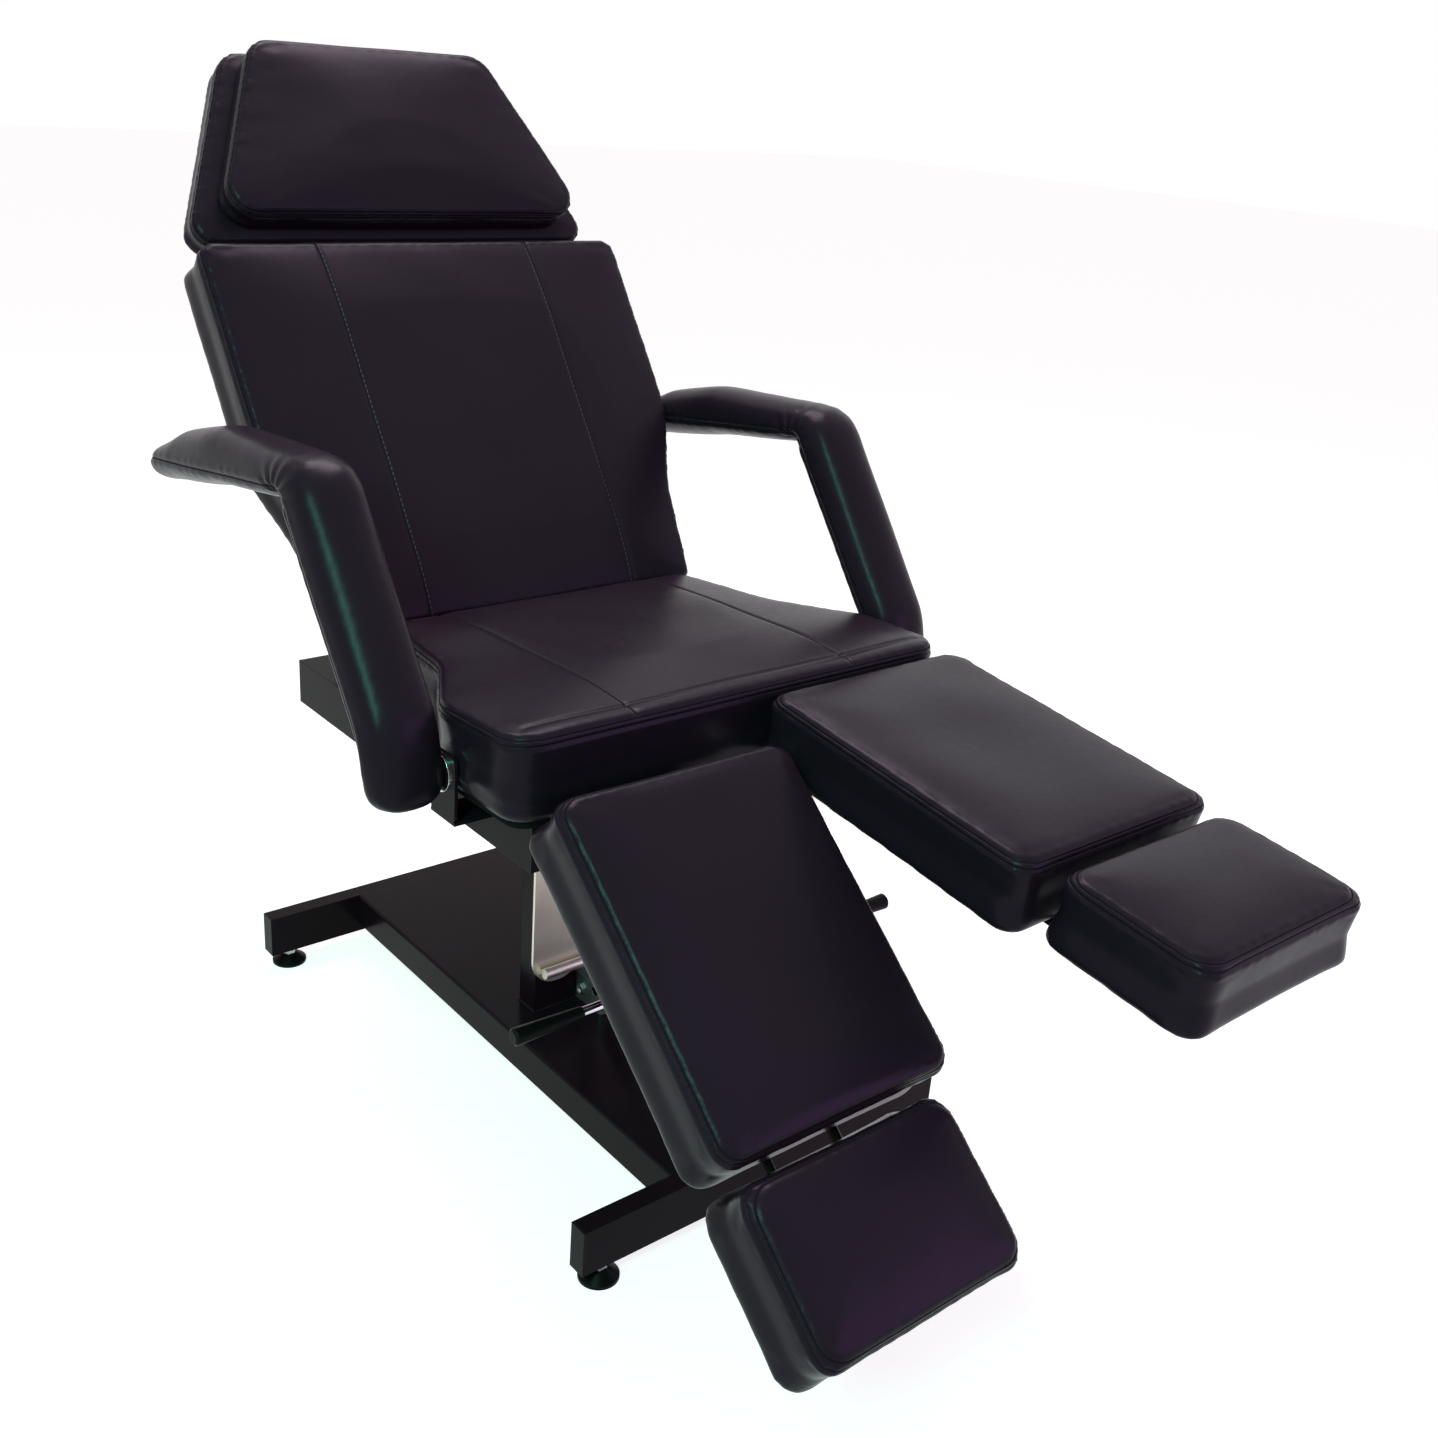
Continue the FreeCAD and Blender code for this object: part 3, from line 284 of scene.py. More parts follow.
padShapes = {
    # All in mm and degrees. origin and angle lay a flat drawing on the pad's face. half lists the corners
    # of its right half as across, along and radius; box gives its limits across and along and one radius.
    # edge and low are the heights of the sewn edge and of the wall's foot, voxel is the mesh's step, panel
    # the place of a panel seam and crease the place and depth of a sunk line behind the front.
    # A small pad stands out from its solid: outer on its outer side, flare at the foot of its walls,
    # longer at its ends and crisp at its corners.
    "seat_cushion": {"body": "seat_frame", "origin": (119, 607), "angle": -2.6, "edge": -2, "low": -70,
                     "voxel": 5.0, "panel": 157, "crease": (24, 1.6),
                     "half": [(308, -419, 38), (312, -277, 60), (250, -171, 120), (226, 0, 20)]},
    "back_cushion": {"body": "backrest", "origin": (143, 610), "angle": 54.2, "edge": -2, "low": -75,
                     "voxel": 6.0, "panel": 157, "thread": 1.0,
                     "half": [(255, -15, 15), (271, 125, 150), (309, 232, 110), (309, 501, 15)]},
    "head_pillow": {"body": "headrest", "origin": (446, 1053), "angle": 56.9, "edge": -2, "low": -41,
                    "voxel": 4.5, "half": [(270, 0, 32), (170, 237, 38)]},
    "head_cushion": {"body": "headrest", "origin": (446, 1053), "angle": 56.9, "edge": -52.8, "low": -91,
                     "voxel": 4.5, "half": [(303, -17, 26), (190, 248, 42)]},
    "right_leg_pad": {"body": "right_leg", "origin": (-297, 522), "angle": 6.4, "edge": 100, "low": 26,
                      "voxel": 4.8, "outer": 7.5, "flare": 1.5, "longer": 1.5, "crisp": 4.0,
                      "box": (12, 305, -387.4, -10.4, 24.0)},
    "left_leg_pad": {"body": "left_leg", "origin": (-297, 522), "angle": 40.0, "edge": 100, "low": 26,
                     "voxel": 4.8, "outer": 1.5, "flare": 1.5, "longer": 0.5, "crisp": 4.0,
                     "box": (-305, -12, -387.4, -10.4, 24.0)},
    "right_foot_pad": {"body": "right_foot_rest", "origin": (-297, 522), "angle": 6.4, "edge": 98,
                       "low": 26, "voxel": 4.5, "outer": 7.0, "flare": 4.5, "longer": 3.0, "crisp": 6.0,
                       "box": (40, 299, -578.4, -414.4, 26)},
    "left_foot_pad": {"body": "left_foot_rest", "origin": (-297, 522), "angle": 40.0, "edge": 98,
                      "low": 26, "voxel": 4.5, "outer": 3.5, "flare": 4.5, "longer": 2.5, "crisp": 6.0,
                      "box": (-299, -40, -578.4, -414.4, 26)},
}
outerSide = (150, 150)      # where the outer side of a leg or foot pad begins, and over what width
armShape = {
    "middle": 364.0, "halfWidth": 39.0, "voxel": 4.5, "rounding": 48, "grow": 5.0,
    "tipStart": 320.0, "tipShare": 0.68,                        # the free end is drawn in to a blunt nose
    "tipSwell": 1.22, "swellStart": 190, "swellRun": 120,
    "tipMiddle": ((200, 400), (818, 768)),                      # its middle's height, from y 200 to 400
    "endTop": 615.0, "endLow": 528, "endFront": -203.0, "endShare": 0.3,    # the lower end tapers
    "fold": (24, 812), "foldDepth": 5.0, "foldNear": 15, "foldWide": 38, "foldPleats": 11,
    "seam": [(-170, 480, 5), (600, 480, 5), (600, 745, 5), (14, 824, 34), (-160, 600, 60)],
    "seamBand": 16,
    "pivot": (-178, 556), "core": 3.6, "bolt": 7.0,
}
noSeam = 60.0               # a distance that the leather takes for no seam at all
edgeReach, edgeBand = 4, 30     # a sewn edge may lie this far off its line, and is looked for this far down


def roundedOutline(corners):
    # corners run anticlockwise; each is replaced by points on its arc
    points = []
    for i, (u, v, radius) in enumerate(corners):
        here = Vector((u, v))
        come = (here - Vector(corners[i - 1][:2])).normalized()
        go = (Vector(corners[(i + 1) % len(corners)][:2]) - here).normalized()
        turn = math.atan2(come.x * go.y - come.y * go.x, come.dot(go))
        run = radius * math.tan(abs(turn) / 2)
        side = Vector((-come.y, come.x)) * (1 if turn > 0 else -1)
        centre = here - come * run + side * radius
        for k in range(9):
            angle = turn * k / 8
            arm = -side * radius
            points.append(centre + Vector((arm.x * math.cos(angle) - arm.y * math.sin(angle),
                                           arm.x * math.sin(angle) + arm.y * math.cos(angle))))
    return np.array(points)


def outlineDistance(outline, u, v):
    # how far inside the outline each point lies, and how far round the outline its nearest point is
    ends = np.roll(outline, -1, axis=0)
    lengths = np.linalg.norm(ends - outline, axis=1)
    before = np.concatenate([[0], np.cumsum(lengths)[:-1]])
    best = np.full(len(u), 1e9)
    signed = np.zeros(len(u))
    along = np.zeros(len(u))
    for start, end, length, run in zip(outline, ends, lengths, before):
        if length < 1e-6:
            continue
        way = (end - start) / length
        t = np.clip((u - start[0]) * way[0] + (v - start[1]) * way[1], 0, length)
        du = u - start[0] - way[0] * t
        dv = v - start[1] - way[1] * t
        gap = np.hypot(du, dv)
        closer = gap < best
        best = np.where(closer, gap, best)
        signed = np.where(closer, np.sign(way[0] * dv - way[1] * du) * gap, signed)
        along = np.where(closer, run + t, along)
    return signed, along


def cornersOf(shape):
    if "half" in shape:
        return shape["half"] + [(-u, v, r) for u, v, r in reversed(shape["half"])]
    x0, x1, y0, y1, r = shape["box"]
    return [(x1, y0, r), (x1, y1, r), (x0, y1, r), (x0, y0, r)]


def readPoints(mesh):
    points = np.zeros(len(mesh.vertices) * 3)
    mesh.vertices.foreach_get("co", points)
    return points.reshape(-1, 3) * 1000 - np.array([0, columnY * 1000, 0])


def writePoints(mesh, points):
    moved = (points + np.array([0, columnY * 1000, 0])) / 1000
    mesh.vertices.foreach_set("co", moved.ravel())
    mesh.update()


def readNormals(mesh):
    normals = np.zeros(len(mesh.vertices) * 3)
    mesh.vertices.foreach_get("normal", normals)
    return normals.reshape(-1, 3)


def padMeasures(shape, points):
    # across is 0 on the sewn edge, positive on the face and negative down the side
    a = math.radians(shape["angle"])
    y = points[:, 1] - shape["origin"][0]
    z = points[:, 2] - shape["origin"][1]
    along = y * math.cos(a) + z * math.sin(a)
    height = z * math.cos(a) - y * math.sin(a)
    inside, around = outlineDistance(shape["outline"], points[:, 0], along)
    across = np.maximum(inside, -edgeReach) + height - shape["edge"]
    face = np.maximum(inside, 0)
    across = np.where(height > shape["edge"] - edgeBand, np.minimum(across, face + edgeReach),
                      height - shape["edge"])
    return across, around, height, along


cornerPower = 6     # keeps the push at the corners themselves


def flarePad(shape, points):
    # the side walls of a small pad stand out towards its board, as a boxed cover does over firm foam
    a = math.radians(shape["angle"])
    x0, x1, s0, s1, corner = shape["box"]
    x = points[:, 0]
    y, z = points[:, 1] - shape["origin"][0], points[:, 2] - shape["origin"][1]
    along = y * math.cos(a) + z * math.sin(a)
    height = z * math.cos(a) - y * math.sin(a)
    down = np.clip((shape["edge"] - height) / (shape["edge"] - shape["low"]), 0, 1)
    u = (x - (x0 + x1) / 2) / ((x1 - x0) / 2)
    w = (along - (s0 + s1) / 2) / ((s1 - s0) / 2)
    push = shape["crisp"] * np.minimum(np.abs(u * w), 1) ** cornerPower
    x += shape["flare"] * down * u + push * np.sign(u)
    along += (shape["flare"] * down + shape["longer"]) * w + push * np.sign(w)
    points[:, 1] = shape["origin"][0] + along * math.cos(a) - height * math.sin(a)
    points[:, 2] = shape["origin"][1] + along * math.sin(a) + height * math.cos(a)


def armMeasures(points):
    height = np.abs(np.abs(points[:, 0]) - armShape["middle"])
    across, run = outlineDistance(armShape["seamOutline"], points[:, 1], points[:, 2])
    across = np.where(height > armShape["halfWidth"] - armShape["seamBand"], across, noSeam)
    return across, run, height, run


def copySolid(name, title):
    piece = bpy.data.objects.new(title, nodes[name].data.copy())
    scene.collection.objects.link(piece)
    pick(piece)
    bpy.ops.object.mode_set(mode="EDIT")
    bpy.ops.mesh.select_all(action="SELECT")
    bpy.ops.mesh.remove_doubles(threshold=0.00002)
    bpy.ops.object.mode_set(mode="OBJECT")
    return piece


def emptyArm(piece):
    # the steel core's pocket and the bolt's bore are closed up, so that only the skin is left
    pick(piece)
    mesh = piece.data
    points = readPoints(mesh)
    nearCore = np.abs(np.abs(points[:, 0]) - armShape["middle"]) < armShape["core"]
    pivotY, pivotZ = armShape["pivot"]
    nearBolt = np.hypot(points[:, 1] - pivotY, points[:, 2] - pivotZ) < armShape["bolt"]
    inner = nearCore | nearBolt
    bpy.ops.object.mode_set(mode="EDIT")
    bpy.ops.mesh.select_mode(type="FACE")
    bpy.ops.mesh.select_all(action="DESELECT")
    bpy.ops.object.mode_set(mode="OBJECT")
    for face in mesh.polygons:
        face.select = all(inner[v] for v in face.vertices)
    bpy.ops.object.mode_set(mode="EDIT")
    bpy.ops.mesh.delete(type="FACE")
    bpy.ops.mesh.select_mode(type="VERT")
    bpy.ops.mesh.select_all(action="SELECT")
    bpy.ops.mesh.fill_holes(sides=0)
    bpy.ops.object.mode_set(mode="OBJECT")


clothLook = {
    "shrink": 1.2, "wall": 2.6, "welt": 4.6, "weltWidth": 10,   # mm from the solid before it is filled
    "held": 5.0,                                # the sewn edge is held this far to each side
    "pressure": 4.0, "frames": 20, "quality": 4, "mass": 0.4,
    "stretch": 12, "shear": 6, "bending": 1.5,  # leather hardly stretches
    "cap": 7.0, "wallCap": 1.2, "wallFrom": -3, # no face rises further, and no wall, which starts here
    "settle": 4,                                # passes that calm the mesh before it is made finer
}


def widenOuter(shape, points):
    # the outer side of a leg or foot pad stands a little wider than its solid
    start, width = outerSide
    share = np.clip((np.abs(points[:, 0]) - start) / width, 0, 1)
    points[:, 0] += np.sign(points[:, 0]) * shape["outer"] * share


def shapeArm(points):
    y, z = points[:, 1], points[:, 2]
    beyond = np.maximum(y - armShape["tipStart"], 0)
    y -= beyond * (1 - armShape["tipShare"])
    middle = np.interp(y, *armShape["tipMiddle"])
    start = armShape["swellStart"]
    swell = 1 + (armShape["tipSwell"] - 1) * np.clip((y - start) / armShape["swellRun"], 0, 1)
    z[:] = np.where(y > start, middle + (z - middle) * swell, z)
    top, front = armShape["endTop"], armShape["endFront"]
    low = np.clip((top - z) / (top - armShape["endLow"]), 0, 1)
    y[:] = front + (y - front) * (1 - armShape["endShare"] * low)


def applyTo(piece, title, kind, settings):
    modifier = piece.modifiers.new(title, kind)
    for key, value in settings.items():
        setattr(modifier, key, value)
    bpy.ops.object.modifier_apply(modifier=title)


def startPad(piece, shape, measure, solid):
    pick(piece)
    applyTo(piece, "evenMesh", "REMESH", {"mode": "VOXEL", "voxel_size": shape["voxel"] / 1000})
    if "low" in shape:
        # the even mesh steps a little where a side leans, so it is laid back on the solid
        applyTo(piece, "onSolid", "SHRINKWRAP", {"target": solid})
    if "rounding" in shape:
        applyTo(piece, "soften", "SMOOTH", {"factor": 0.5, "iterations": shape["rounding"]})
    mesh = piece.data
    points = readPoints(mesh)
    across, around, height, along = measure(points)
    still = np.abs(across) < clothLook["held"]
    grow = clothLook["welt"] * np.exp(-(across / clothLook["weltWidth"]) ** 2) - clothLook["shrink"]
    if "low" in shape:
        # the foam's faces start a little low, so that they swell to size, while the walls keep theirs
        grow = np.where(across < 0, clothLook["wall"], grow)
        grow = np.where(height < shape["low"], 0, grow)
        still |= height < shape["low"]
    else:
        grow += shape["grow"]
    points += readNormals(mesh) * grow[:, None]
    if "flare" in shape:
        flarePad(shape, points)
        widenOuter(shape, points)
    if "tipStart" in shape:
        shapeArm(points)
    writePoints(mesh, points)
    held = piece.vertex_groups.new(name="held")
    held.add([int(i) for i in np.nonzero(still)[0]], 1.0, "REPLACE")
    return readPoints(mesh)


def addCloth(piece):
    cloth = piece.modifiers.new("fill", "CLOTH")
    settings = cloth.settings
    settings.quality = clothLook["quality"]
    settings.mass = clothLook["mass"]
    settings.tension_stiffness = clothLook["stretch"]
    settings.compression_stiffness = clothLook["stretch"]
    settings.shear_stiffness = clothLook["shear"]
    settings.bending_stiffness = clothLook["bending"]
    settings.use_pressure = True
    settings.uniform_pressure_force = clothLook["pressure"]
    settings.vertex_group_mass = "held"
    settings.effector_weights.gravity = 0
    cloth.collision_settings.use_collision = False
    cloth.point_cache.frame_start = 1
    cloth.point_cache.frame_end = clothLook["frames"]


def settlePad(piece, shape, measure, before):
    graph = bpy.context.evaluated_depsgraph_get()
    mesh = piece.evaluated_get(graph).data
    after = readPoints(mesh)
    move = after - before
    size = np.linalg.norm(move, axis=1, keepdims=True)
    wall = (measure(before)[0] < clothLook["wallFrom"])[:, None] if "low" in shape else False
    cap = np.where(wall, clothLook["wallCap"], clothLook["cap"])
    move *= np.minimum(1, cap / np.maximum(size, 0.001))
    piece.modifiers.remove(piece.modifiers["fill"])
    writePoints(piece.data, before + move)


def keepMeasure(mesh, name, values):
    layer = mesh.attributes.get(name) or mesh.attributes.new(name, "FLOAT", "POINT")
    layer.data.foreach_set("value", values.astype(np.float32))


seamLook = {
    # All in mm. Three numbers are a ridge's height or a groove's depth, its place beside the seam and
    # its width.
    "bead": (0.9, 0, 2.6), "needle": (0.8, 4.6, 1.9), "pucker": (0.7, 9.0, 3.4),
    "roll": 5.5, "rollWidth": 6.5,              # the face rises beside its welt, as foam does in a cover
    "armSunk": (1.1, 0, 2.4), "armPucker": (0.5, 6.5, 3.2),
    "foldPleat": 0.9, "foldTwist": 9,           # the pleats' height, and how fast they turn across the arm
    "panel": (1.3, 0, 2.6), "panelFrom": 5, "panelBand": 12,    # a panel seam stops short of the welt
    "creaseWidth": 2.8, "creaseRoll": (0.6, 0.5, 5.0),          # the roll's share of the depth, its place
    "creaseFade": (4, 3), "creaseBand": 6,
    "puckerWave": 4.1, "puckerDrift": (1.7, 17.0),
    "dents": 0.45, "dentWaves": (41, 67, 53, 47, 59),           # slow dents where the foam gives
}


def ridge(distance, place, width):
    return np.exp(-((distance - place) / width) ** 2)


def armSeams(shape, points, across, pucker):
    # one plain seam along each side of the arm rest, and the leather gathered in its fold
    high, place, width = seamLook["armPucker"]
    lift = high * ridge(np.abs(across), place, width) * (0.3 + 0.7 * pucker)
    deep, place, width = seamLook["armSunk"]
    lift -= deep * ridge(across, place, width)
    dy, dz = points[:, 1] - shape["fold"][0], points[:, 2] - shape["fold"][1]
    near = np.exp(-(dy ** 2 + dz ** 2) / shape["foldNear"] ** 2)
    wide = np.exp(-(dy ** 2 + dz ** 2) / shape["foldWide"] ** 2)
    pleats = np.sin(np.arctan2(dz, dy) * shape["foldPleats"] + points[:, 0] / seamLook["foldTwist"])
    return lift + seamLook["foldPleat"] * wide * pleats - shape["foldDepth"] * near


def padSeams(across, pucker):
    # the welt stands proud between two sunk lines, with puckers beside them that are never quite even
    aside = np.abs(across)
    high, place, width = seamLook["bead"]
    lift = high * ridge(across, place, width)
    deep, place, width = seamLook["needle"]
    lift -= deep * ridge(aside, place, width)
    high, place, width = seamLook["pucker"]
    lift += high * ridge(aside, place, width) * (0.5 + 0.5 * pucker)
    return lift + seamLook["roll"] * (1 - np.exp(-np.maximum(across, 0) / seamLook["rollWidth"]))


def frontCrease(shape, across, height, along):
    # a second sunk line behind the front edge, where the seat's front is rolled over
    back, depth = shape["crease"]
    front = along - shape["outline"][:, 1].min()
    before, run = seamLook["creaseFade"]
    onTop = height > shape["edge"] - seamLook["creaseBand"]
    fade = np.clip((across - front + before) / run, 0, 1) * onTop
    share, half, width = seamLook["creaseRoll"]
    roll = share * depth * fade * ridge(front, back * half, width)
    return roll - depth * fade * ridge(front, back, seamLook["creaseWidth"])


def sewPad(piece, shape, measure):
    pick(piece)
    applyTo(piece, "settle", "SMOOTH", {"factor": 0.5, "iterations": clothLook["settle"]})
    applyTo(piece, "finer", "SUBSURF", {"levels": 1, "render_levels": 1})
    mesh = piece.data
    points = readPoints(mesh)
    across, around, height, along = measure(points)
    normals = readNormals(mesh)
    drift, slow = seamLook["puckerDrift"]
    pucker = 0.5 + 0.5 * np.sin(around / seamLook["puckerWave"] + drift * np.sin(around / slow))
    welt = panel = np.full(len(points), noSeam)
    if "fold" in shape:
        lift = armSeams(shape, points, across, pucker)
        panel = across
    else:
        lift = padSeams(across, pucker)
        welt = across
    if "panel" in shape:
        onFace = (across > seamLook["panelFrom"]) & (height > shape["edge"] - seamLook["panelBand"])
        line = np.abs(points[:, 0]) - shape["panel"]
        deep, place, width = seamLook["panel"]
        lift -= np.where(onFace, deep * ridge(line, place, width), 0)
        panel = np.where(onFace, line, panel)
    if "crease" in shape:
        lift += frontCrease(shape, across, height, along)
    x, y, z = points.T
    a, b, c, d, e = seamLook["dentWaves"]
    dents = np.sin(x / a + 2.1 * np.sin(y / b)) * np.sin(y / c + z / d + 1.3 * np.sin(x / e))
    lift += seamLook["dents"] * dents
    writePoints(mesh, points + normals * lift[:, None])
    keepMeasure(mesh, "seamAcross", welt)
    keepMeasure(mesh, "panelAcross", panel)
    keepMeasure(mesh, "panelAlong", along)
    keepMeasure(mesh, "threadShown", np.full(len(points), shape.get("thread", 0.0)))
    pick(piece)
    bpy.ops.object.shade_smooth()
    mesh.materials.clear()
    mesh.materials.append(leather)


pads = []
for name, shape in padShapes.items():
    shape["outline"] = roundedOutline(cornersOf(shape))
    piece = copySolid(name, name + "_leather")
    measure = lambda points, shape=shape: padMeasures(shape, points)
    pads.append((name, piece, shape, measure, startPad(piece, shape, measure, nodes[name])))
armShape["seamOutline"] = roundedOutline(armShape["seam"])
for side in ("right", "left"):
    name = side + "_arm_pad"
    piece = copySolid(name, name + "_leather")
    emptyArm(piece)
    shape = dict(armShape, body=side + "_arm")
    pads.append((name, piece, shape, armMeasures, startPad(piece, shape, armMeasures, nodes[name])))
print("pads cut:", sum(len(pad[1].data.vertices) for pad in pads), "points")

for name, piece, shape, measure, before in pads:
    addCloth(piece)
for step in range(1, clothLook["frames"] + 1):
    scene.frame_set(step)
for name, piece, shape, measure, before in pads:
    settlePad(piece, shape, measure, before)
scene.frame_set(1)
print("pads filled")

for name, piece, shape, measure, before in pads:
    sewPad(piece, shape, measure)
    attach(piece, shape["body"])
    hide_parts(name)
print("pads sewn")

# fasteners and welds: one head or bead is shaped and then copied to each of its places

headShapes = {
    # sides, then sizes in mm; rim is the ring left round the socket, and socket its depth
    "hexBolt": {"sides": 6, "radius": 7.5, "height": 4.6, "chamfer": 0.9, "rise": 0.7, "rim": 3.6,
                "socket": 0.5, "washer": 8.6, "washerThick": 1.6},
    "panScrew": {"sides": 20, "radius": 5.0, "height": 1.4, "chamfer": 1.4, "rise": 1.0, "rim": 1.3,
                 "socket": 1.5},
    "glandNut": {"sides": 6, "radius": 18.4, "height": 12.0, "chamfer": 1.2, "rise": 0.9, "rim": 5.0,
                 "socket": 1.0},
    "plug": {"sides": 6, "radius": 8.0, "height": 4.0, "chamfer": 0.8, "rise": 0.6, "rim": 3.2,
             "socket": 2.4},
}
beadShape = {"radius": 2.5, "step": 2.3, "flat": 0.6}


def shapeHead(look):
    # shaped standing on the floor, with its socket up
    base = look.get("washerThick", 0) / 1000
    height = look["height"] / 1000
    deselectAll()
    bpy.ops.mesh.primitive_cylinder_add(vertices=look["sides"], radius=look["radius"] / 1000, depth=height,
                                        location=(0, 0, base + height / 2))
    head = bpy.context.object
    bpy.ops.object.transform_apply()
    for face in head.data.polygons:
        face.select = face.normal.z > 0.9
    bpy.ops.object.mode_set(mode="EDIT")
    bpy.ops.mesh.select_mode(type="FACE")
    bpy.ops.mesh.inset(thickness=look["chamfer"] / 1000)
    bpy.ops.transform.translate(value=(0, 0, look["rise"] / 1000))
    bpy.ops.mesh.inset(thickness=look["rim"] / 1000)
    bpy.ops.transform.translate(value=(0, 0, -look["socket"] / 1000))
    if base:
        bpy.ops.mesh.select_all(action="DESELECT")
        bpy.ops.mesh.primitive_cylinder_add(vertices=24, radius=look["washer"] / 1000, depth=base,
                                            location=(0, 0, base / 2))
    bpy.ops.object.mode_set(mode="OBJECT")
    return head


def shapeBead():
    deselectAll()
    bpy.ops.mesh.primitive_uv_sphere_add(segments=8, ring_count=5, radius=beadShape["radius"] / 1000)
    bpy.ops.transform.resize(value=(1, 1, beadShape["flat"]))
    bpy.ops.object.transform_apply()
    bpy.ops.object.shade_smooth()
    return bpy.context.object


def spread(template, title, body, slot, places):
    # each place is a point in mm from the column's axis and the way that the piece faces
    copies = []
    for spot, way in places:
        piece = template.copy()
        piece.data = template.data.copy()
        scene.collection.objects.link(piece)
        turn = Vector(way).to_track_quat("Z", "Y").to_matrix().to_4x4()
        move = Matrix.Translation(Vector(spot) / 1000 + Vector((0, columnY, 0)))
        piece.data.transform(move @ turn)
        copies.append(piece)
    deselectAll()
    for piece in copies:
        piece.select_set(True)
    bpy.context.view_layer.objects.active = copies[0]
    if len(copies) > 1:
        bpy.ops.object.join()
    group = bpy.context.object
    group.name = title
    group.data.materials.clear()
    group.data.materials.append(rigid[slot])
    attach(group, body)


def onPad(name, x, s, h):
    # a place and a way out of the back of a pad, from the pad's own drawing
    shape = padShapes[name]
    a = math.radians(shape["angle"])
    y0, z0 = shape["origin"]
    spot = (x, y0 + s * math.cos(a) - h * math.sin(a), z0 + s * math.sin(a) + h * math.cos(a))
    return spot, (0, math.sin(a), -math.cos(a))


def weldLine(start, end, way):
    start, end = Vector(start), Vector(end)
    count = int((end - start).length / beadShape["step"])
    return [(tuple(start.lerp(end, i / count)), way) for i in range(count + 1)]


boltRows = {
    # under each plate: the body, the places across and along, and the height of the face they hang from
    "swivel_bolts": ("seat_frame", (-96, 96), (-109, 109), 458),
    "cross_member_bolts": ("seat_frame", (-200, -150, 150, 200), (-100, 100), 466),
    "head_plate_bolts": ("lift", (-95, 95), (-36, 36), 430),
}
screwRows = {
    # through each frame into its board: the body, the pad and the places across, along and in height on it
    "back_board_screws": ("backrest", "back_cushion", (-218.5, 218.5), (90, 240, 390), -114),
    "head_board_screws": ("headrest", "head_cushion", (-125, 125), (40, 160), -124.8),
    "right_leg_screws": ("right_leg", "right_leg_pad", (74, 225), (-310, -150, -75), -8),
    "left_leg_screws": ("left_leg", "left_leg_pad", (-74, -225), (-310, -150, -75), -8),
}
glandPlace = (0, 0, 374)
plugPlaces = [((-17, -30, 102), (-1, 0, 0)), ((17, -30, 102), (1, 0, 0))]
postFeet = {"tubes": ((-86, -22), (22, 86)), "half": 18, "height": 82.5}
crossEnds = {"across": 232, "sides": ((-120, -1), (-80, 1), (80, -1), (120, 1)), "low": 467, "high": 495}

hexBolt, panScrew = shapeHead(headShapes["hexBolt"]), shapeHead(headShapes["panScrew"])
glandNut, plug = shapeHead(headShapes["glandNut"]), shapeHead(headShapes["plug"])
for title, (body, across, along, height) in boltRows.items():
    spread(hexBolt, title, body, "zinc_plated_steel",
           [((x, y, height), (0, 0, -1)) for x in across for y in along])
for title, (body, pad, across, along, height) in screwRows.items():
    spread(panScrew, title, body, "zinc_plated_steel",
           [onPad(pad, x, s, height) for x in across for s in along])
spread(glandNut, "ram_gland_nut", "base", "zinc_plated_steel", [(glandPlace, (0, 0, 1))])
spread(plug, "pump_plugs", "base", "zinc_plated_steel", plugPlaces)
bead = shapeBead()
postWelds = []
half, height = postFeet["half"], postFeet["height"]
for x0, x1 in postFeet["tubes"]:
    for y in (-half, half):
        postWelds += weldLine((x0, y, height), (x1, y, height), (0, y / half, 1))
    for x, way in ((x0, -1), (x1, 1)):
        postWelds += weldLine((x, -half, height), (x, half, height), (way, 0, 1))
spread(bead, "post_welds", "base", "black_painted_steel", postWelds)
crossWelds = []
for side in (-1, 1):
    x = side * crossEnds["across"]
    for y, way in crossEnds["sides"]:
        crossWelds += weldLine((x, y, crossEnds["low"]), (x, y, crossEnds["high"]), (-side, way, 0))
spread(bead, "frame_welds", "seat_frame", "black_painted_steel", crossWelds)
for template in (hexBolt, panScrew, glandNut, plug, bead):
    bpy.data.objects.remove(template)
print("fasteners and welds placed")

# floor, world and lamps

studio = {
    "floorSide": 40.0, "floorGlow": 0.8, "floorTone": "#b9b9bb",
    "worldLight": 0.39, "worldTone": "#fff0f2",
}
lamps = {
    # metres from the column's axis, and watts
    "top": {"place": (0.5, 0.9, 3.0), "aim": (0.0, 0.0, 0.5), "size": (1.5, 1.2), "power": 57.0,
            "tone": "#fff6fb"},
    "back": {"place": (2.4, 0.9, 2.05), "aim": (0.15, -0.5, 0.6), "size": (1.8, 1.0), "power": 4.0,
             "tone": "#f4fbff"},
    "left": {"place": (-2.2, -1.45, 2.45), "aim": (-0.15, -0.25, 0.5), "size": (0.5, 1.4), "power": 78.0,
             "tone": "#7affcf"},
    "front": {"place": (1.3, -2.6, 1.1), "aim": (0.0, 0.0, 0.5), "size": (1.4, 1.2), "power": 17.0,
              "tone": "#cd8cf2"},
}


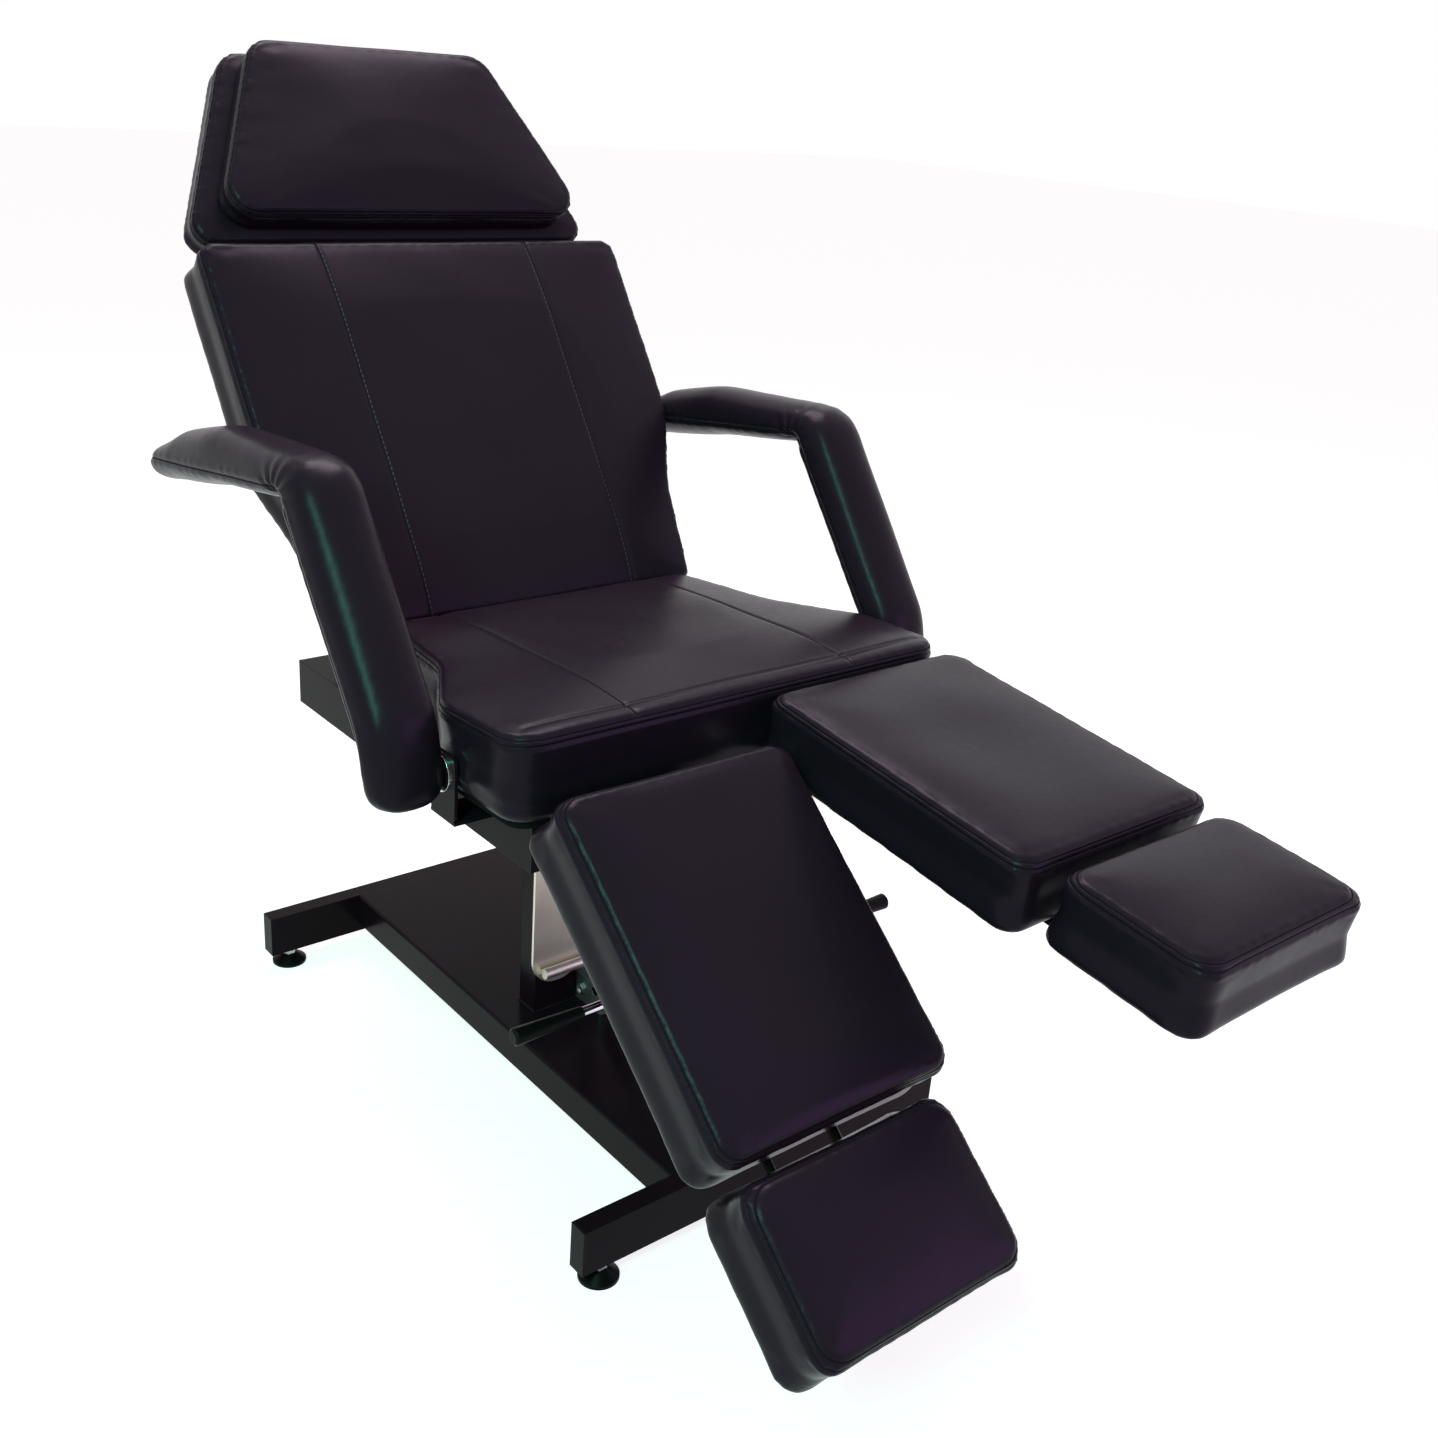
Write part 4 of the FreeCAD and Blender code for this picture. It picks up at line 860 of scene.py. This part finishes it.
def seenDirectly(tree):
    # camera, mirror and glass rays see the plain white studio
    path = addNode(tree, "ShaderNodeLightPath")
    first = addNode(tree, "ShaderNodeMath", {"operation": "ADD"},
                    {0: path.outputs["Is Camera Ray"], 1: path.outputs["Is Glossy Ray"]})
    both = addNode(tree, "ShaderNodeMath", {"operation": "ADD", "use_clamp": True},
                   {0: first.outputs[0], 1: path.outputs["Is Transmission Ray"]})
    return both.outputs[0]


def makeFloor():
    deselectAll()
    bpy.ops.mesh.primitive_plane_add(size=studio["floorSide"], location=(0, 0, 0))
    floor = bpy.context.object
    floor.name = "floor"
    material, tree = newMaterial("paleFloor")
    matt = addNode(tree, "ShaderNodeBsdfDiffuse", {"Color": hexColour(studio["floorTone"])})
    glow = addNode(tree, "ShaderNodeEmission", {"Color": (1, 1, 1, 1), "Strength": studio["floorGlow"]})
    both = addNode(tree, "ShaderNodeAddShader", None, {0: matt.outputs[0], 1: glow.outputs[0]})
    surface = addNode(tree, "ShaderNodeMixShader", None,
                      {0: seenDirectly(tree), 1: matt.outputs[0], 2: both.outputs[0]})
    finishMaterial(tree, surface)
    floor.data.materials.append(material)


def makeWorld():
    world = bpy.data.worlds.new("studio")
    world.use_nodes = True
    tree = world.node_tree
    tree.nodes.clear()
    light = addNode(tree, "ShaderNodeBackground",
                    {"Color": hexColour(studio["worldTone"]), "Strength": studio["worldLight"]})
    white = addNode(tree, "ShaderNodeBackground", {"Color": (1, 1, 1, 1), "Strength": 1.0})
    mix = addNode(tree, "ShaderNodeMixShader", None,
                  {0: seenDirectly(tree), 1: light.outputs[0], 2: white.outputs[0]})
    addNode(tree, "ShaderNodeOutputWorld", None, {"Surface": mix.outputs[0]})
    scene.world = world


def makeLamp(name, look):
    data = bpy.data.lights.new(name + "Lamp", "AREA")
    data.shape = "RECTANGLE"
    data.size, data.size_y = look["size"]
    data.energy = look["power"]
    data.color = hexColour(look["tone"])[:3]
    lamp = bpy.data.objects.new(name + "Lamp", data)
    lamp.visible_camera = False
    scene.collection.objects.link(lamp)
    place = Vector(look["place"]) + Vector((0, columnY, 0))
    aim = Vector(look["aim"]) + Vector((0, columnY, 0))
    lamp.location = place
    lamp.rotation_euler = (aim - place).to_track_quat("-Z", "Y").to_euler()


makeFloor()
makeWorld()
for name, look in lamps.items():
    makeLamp(name, look)
scene.view_settings.view_transform = "Standard"
print("studio lit")
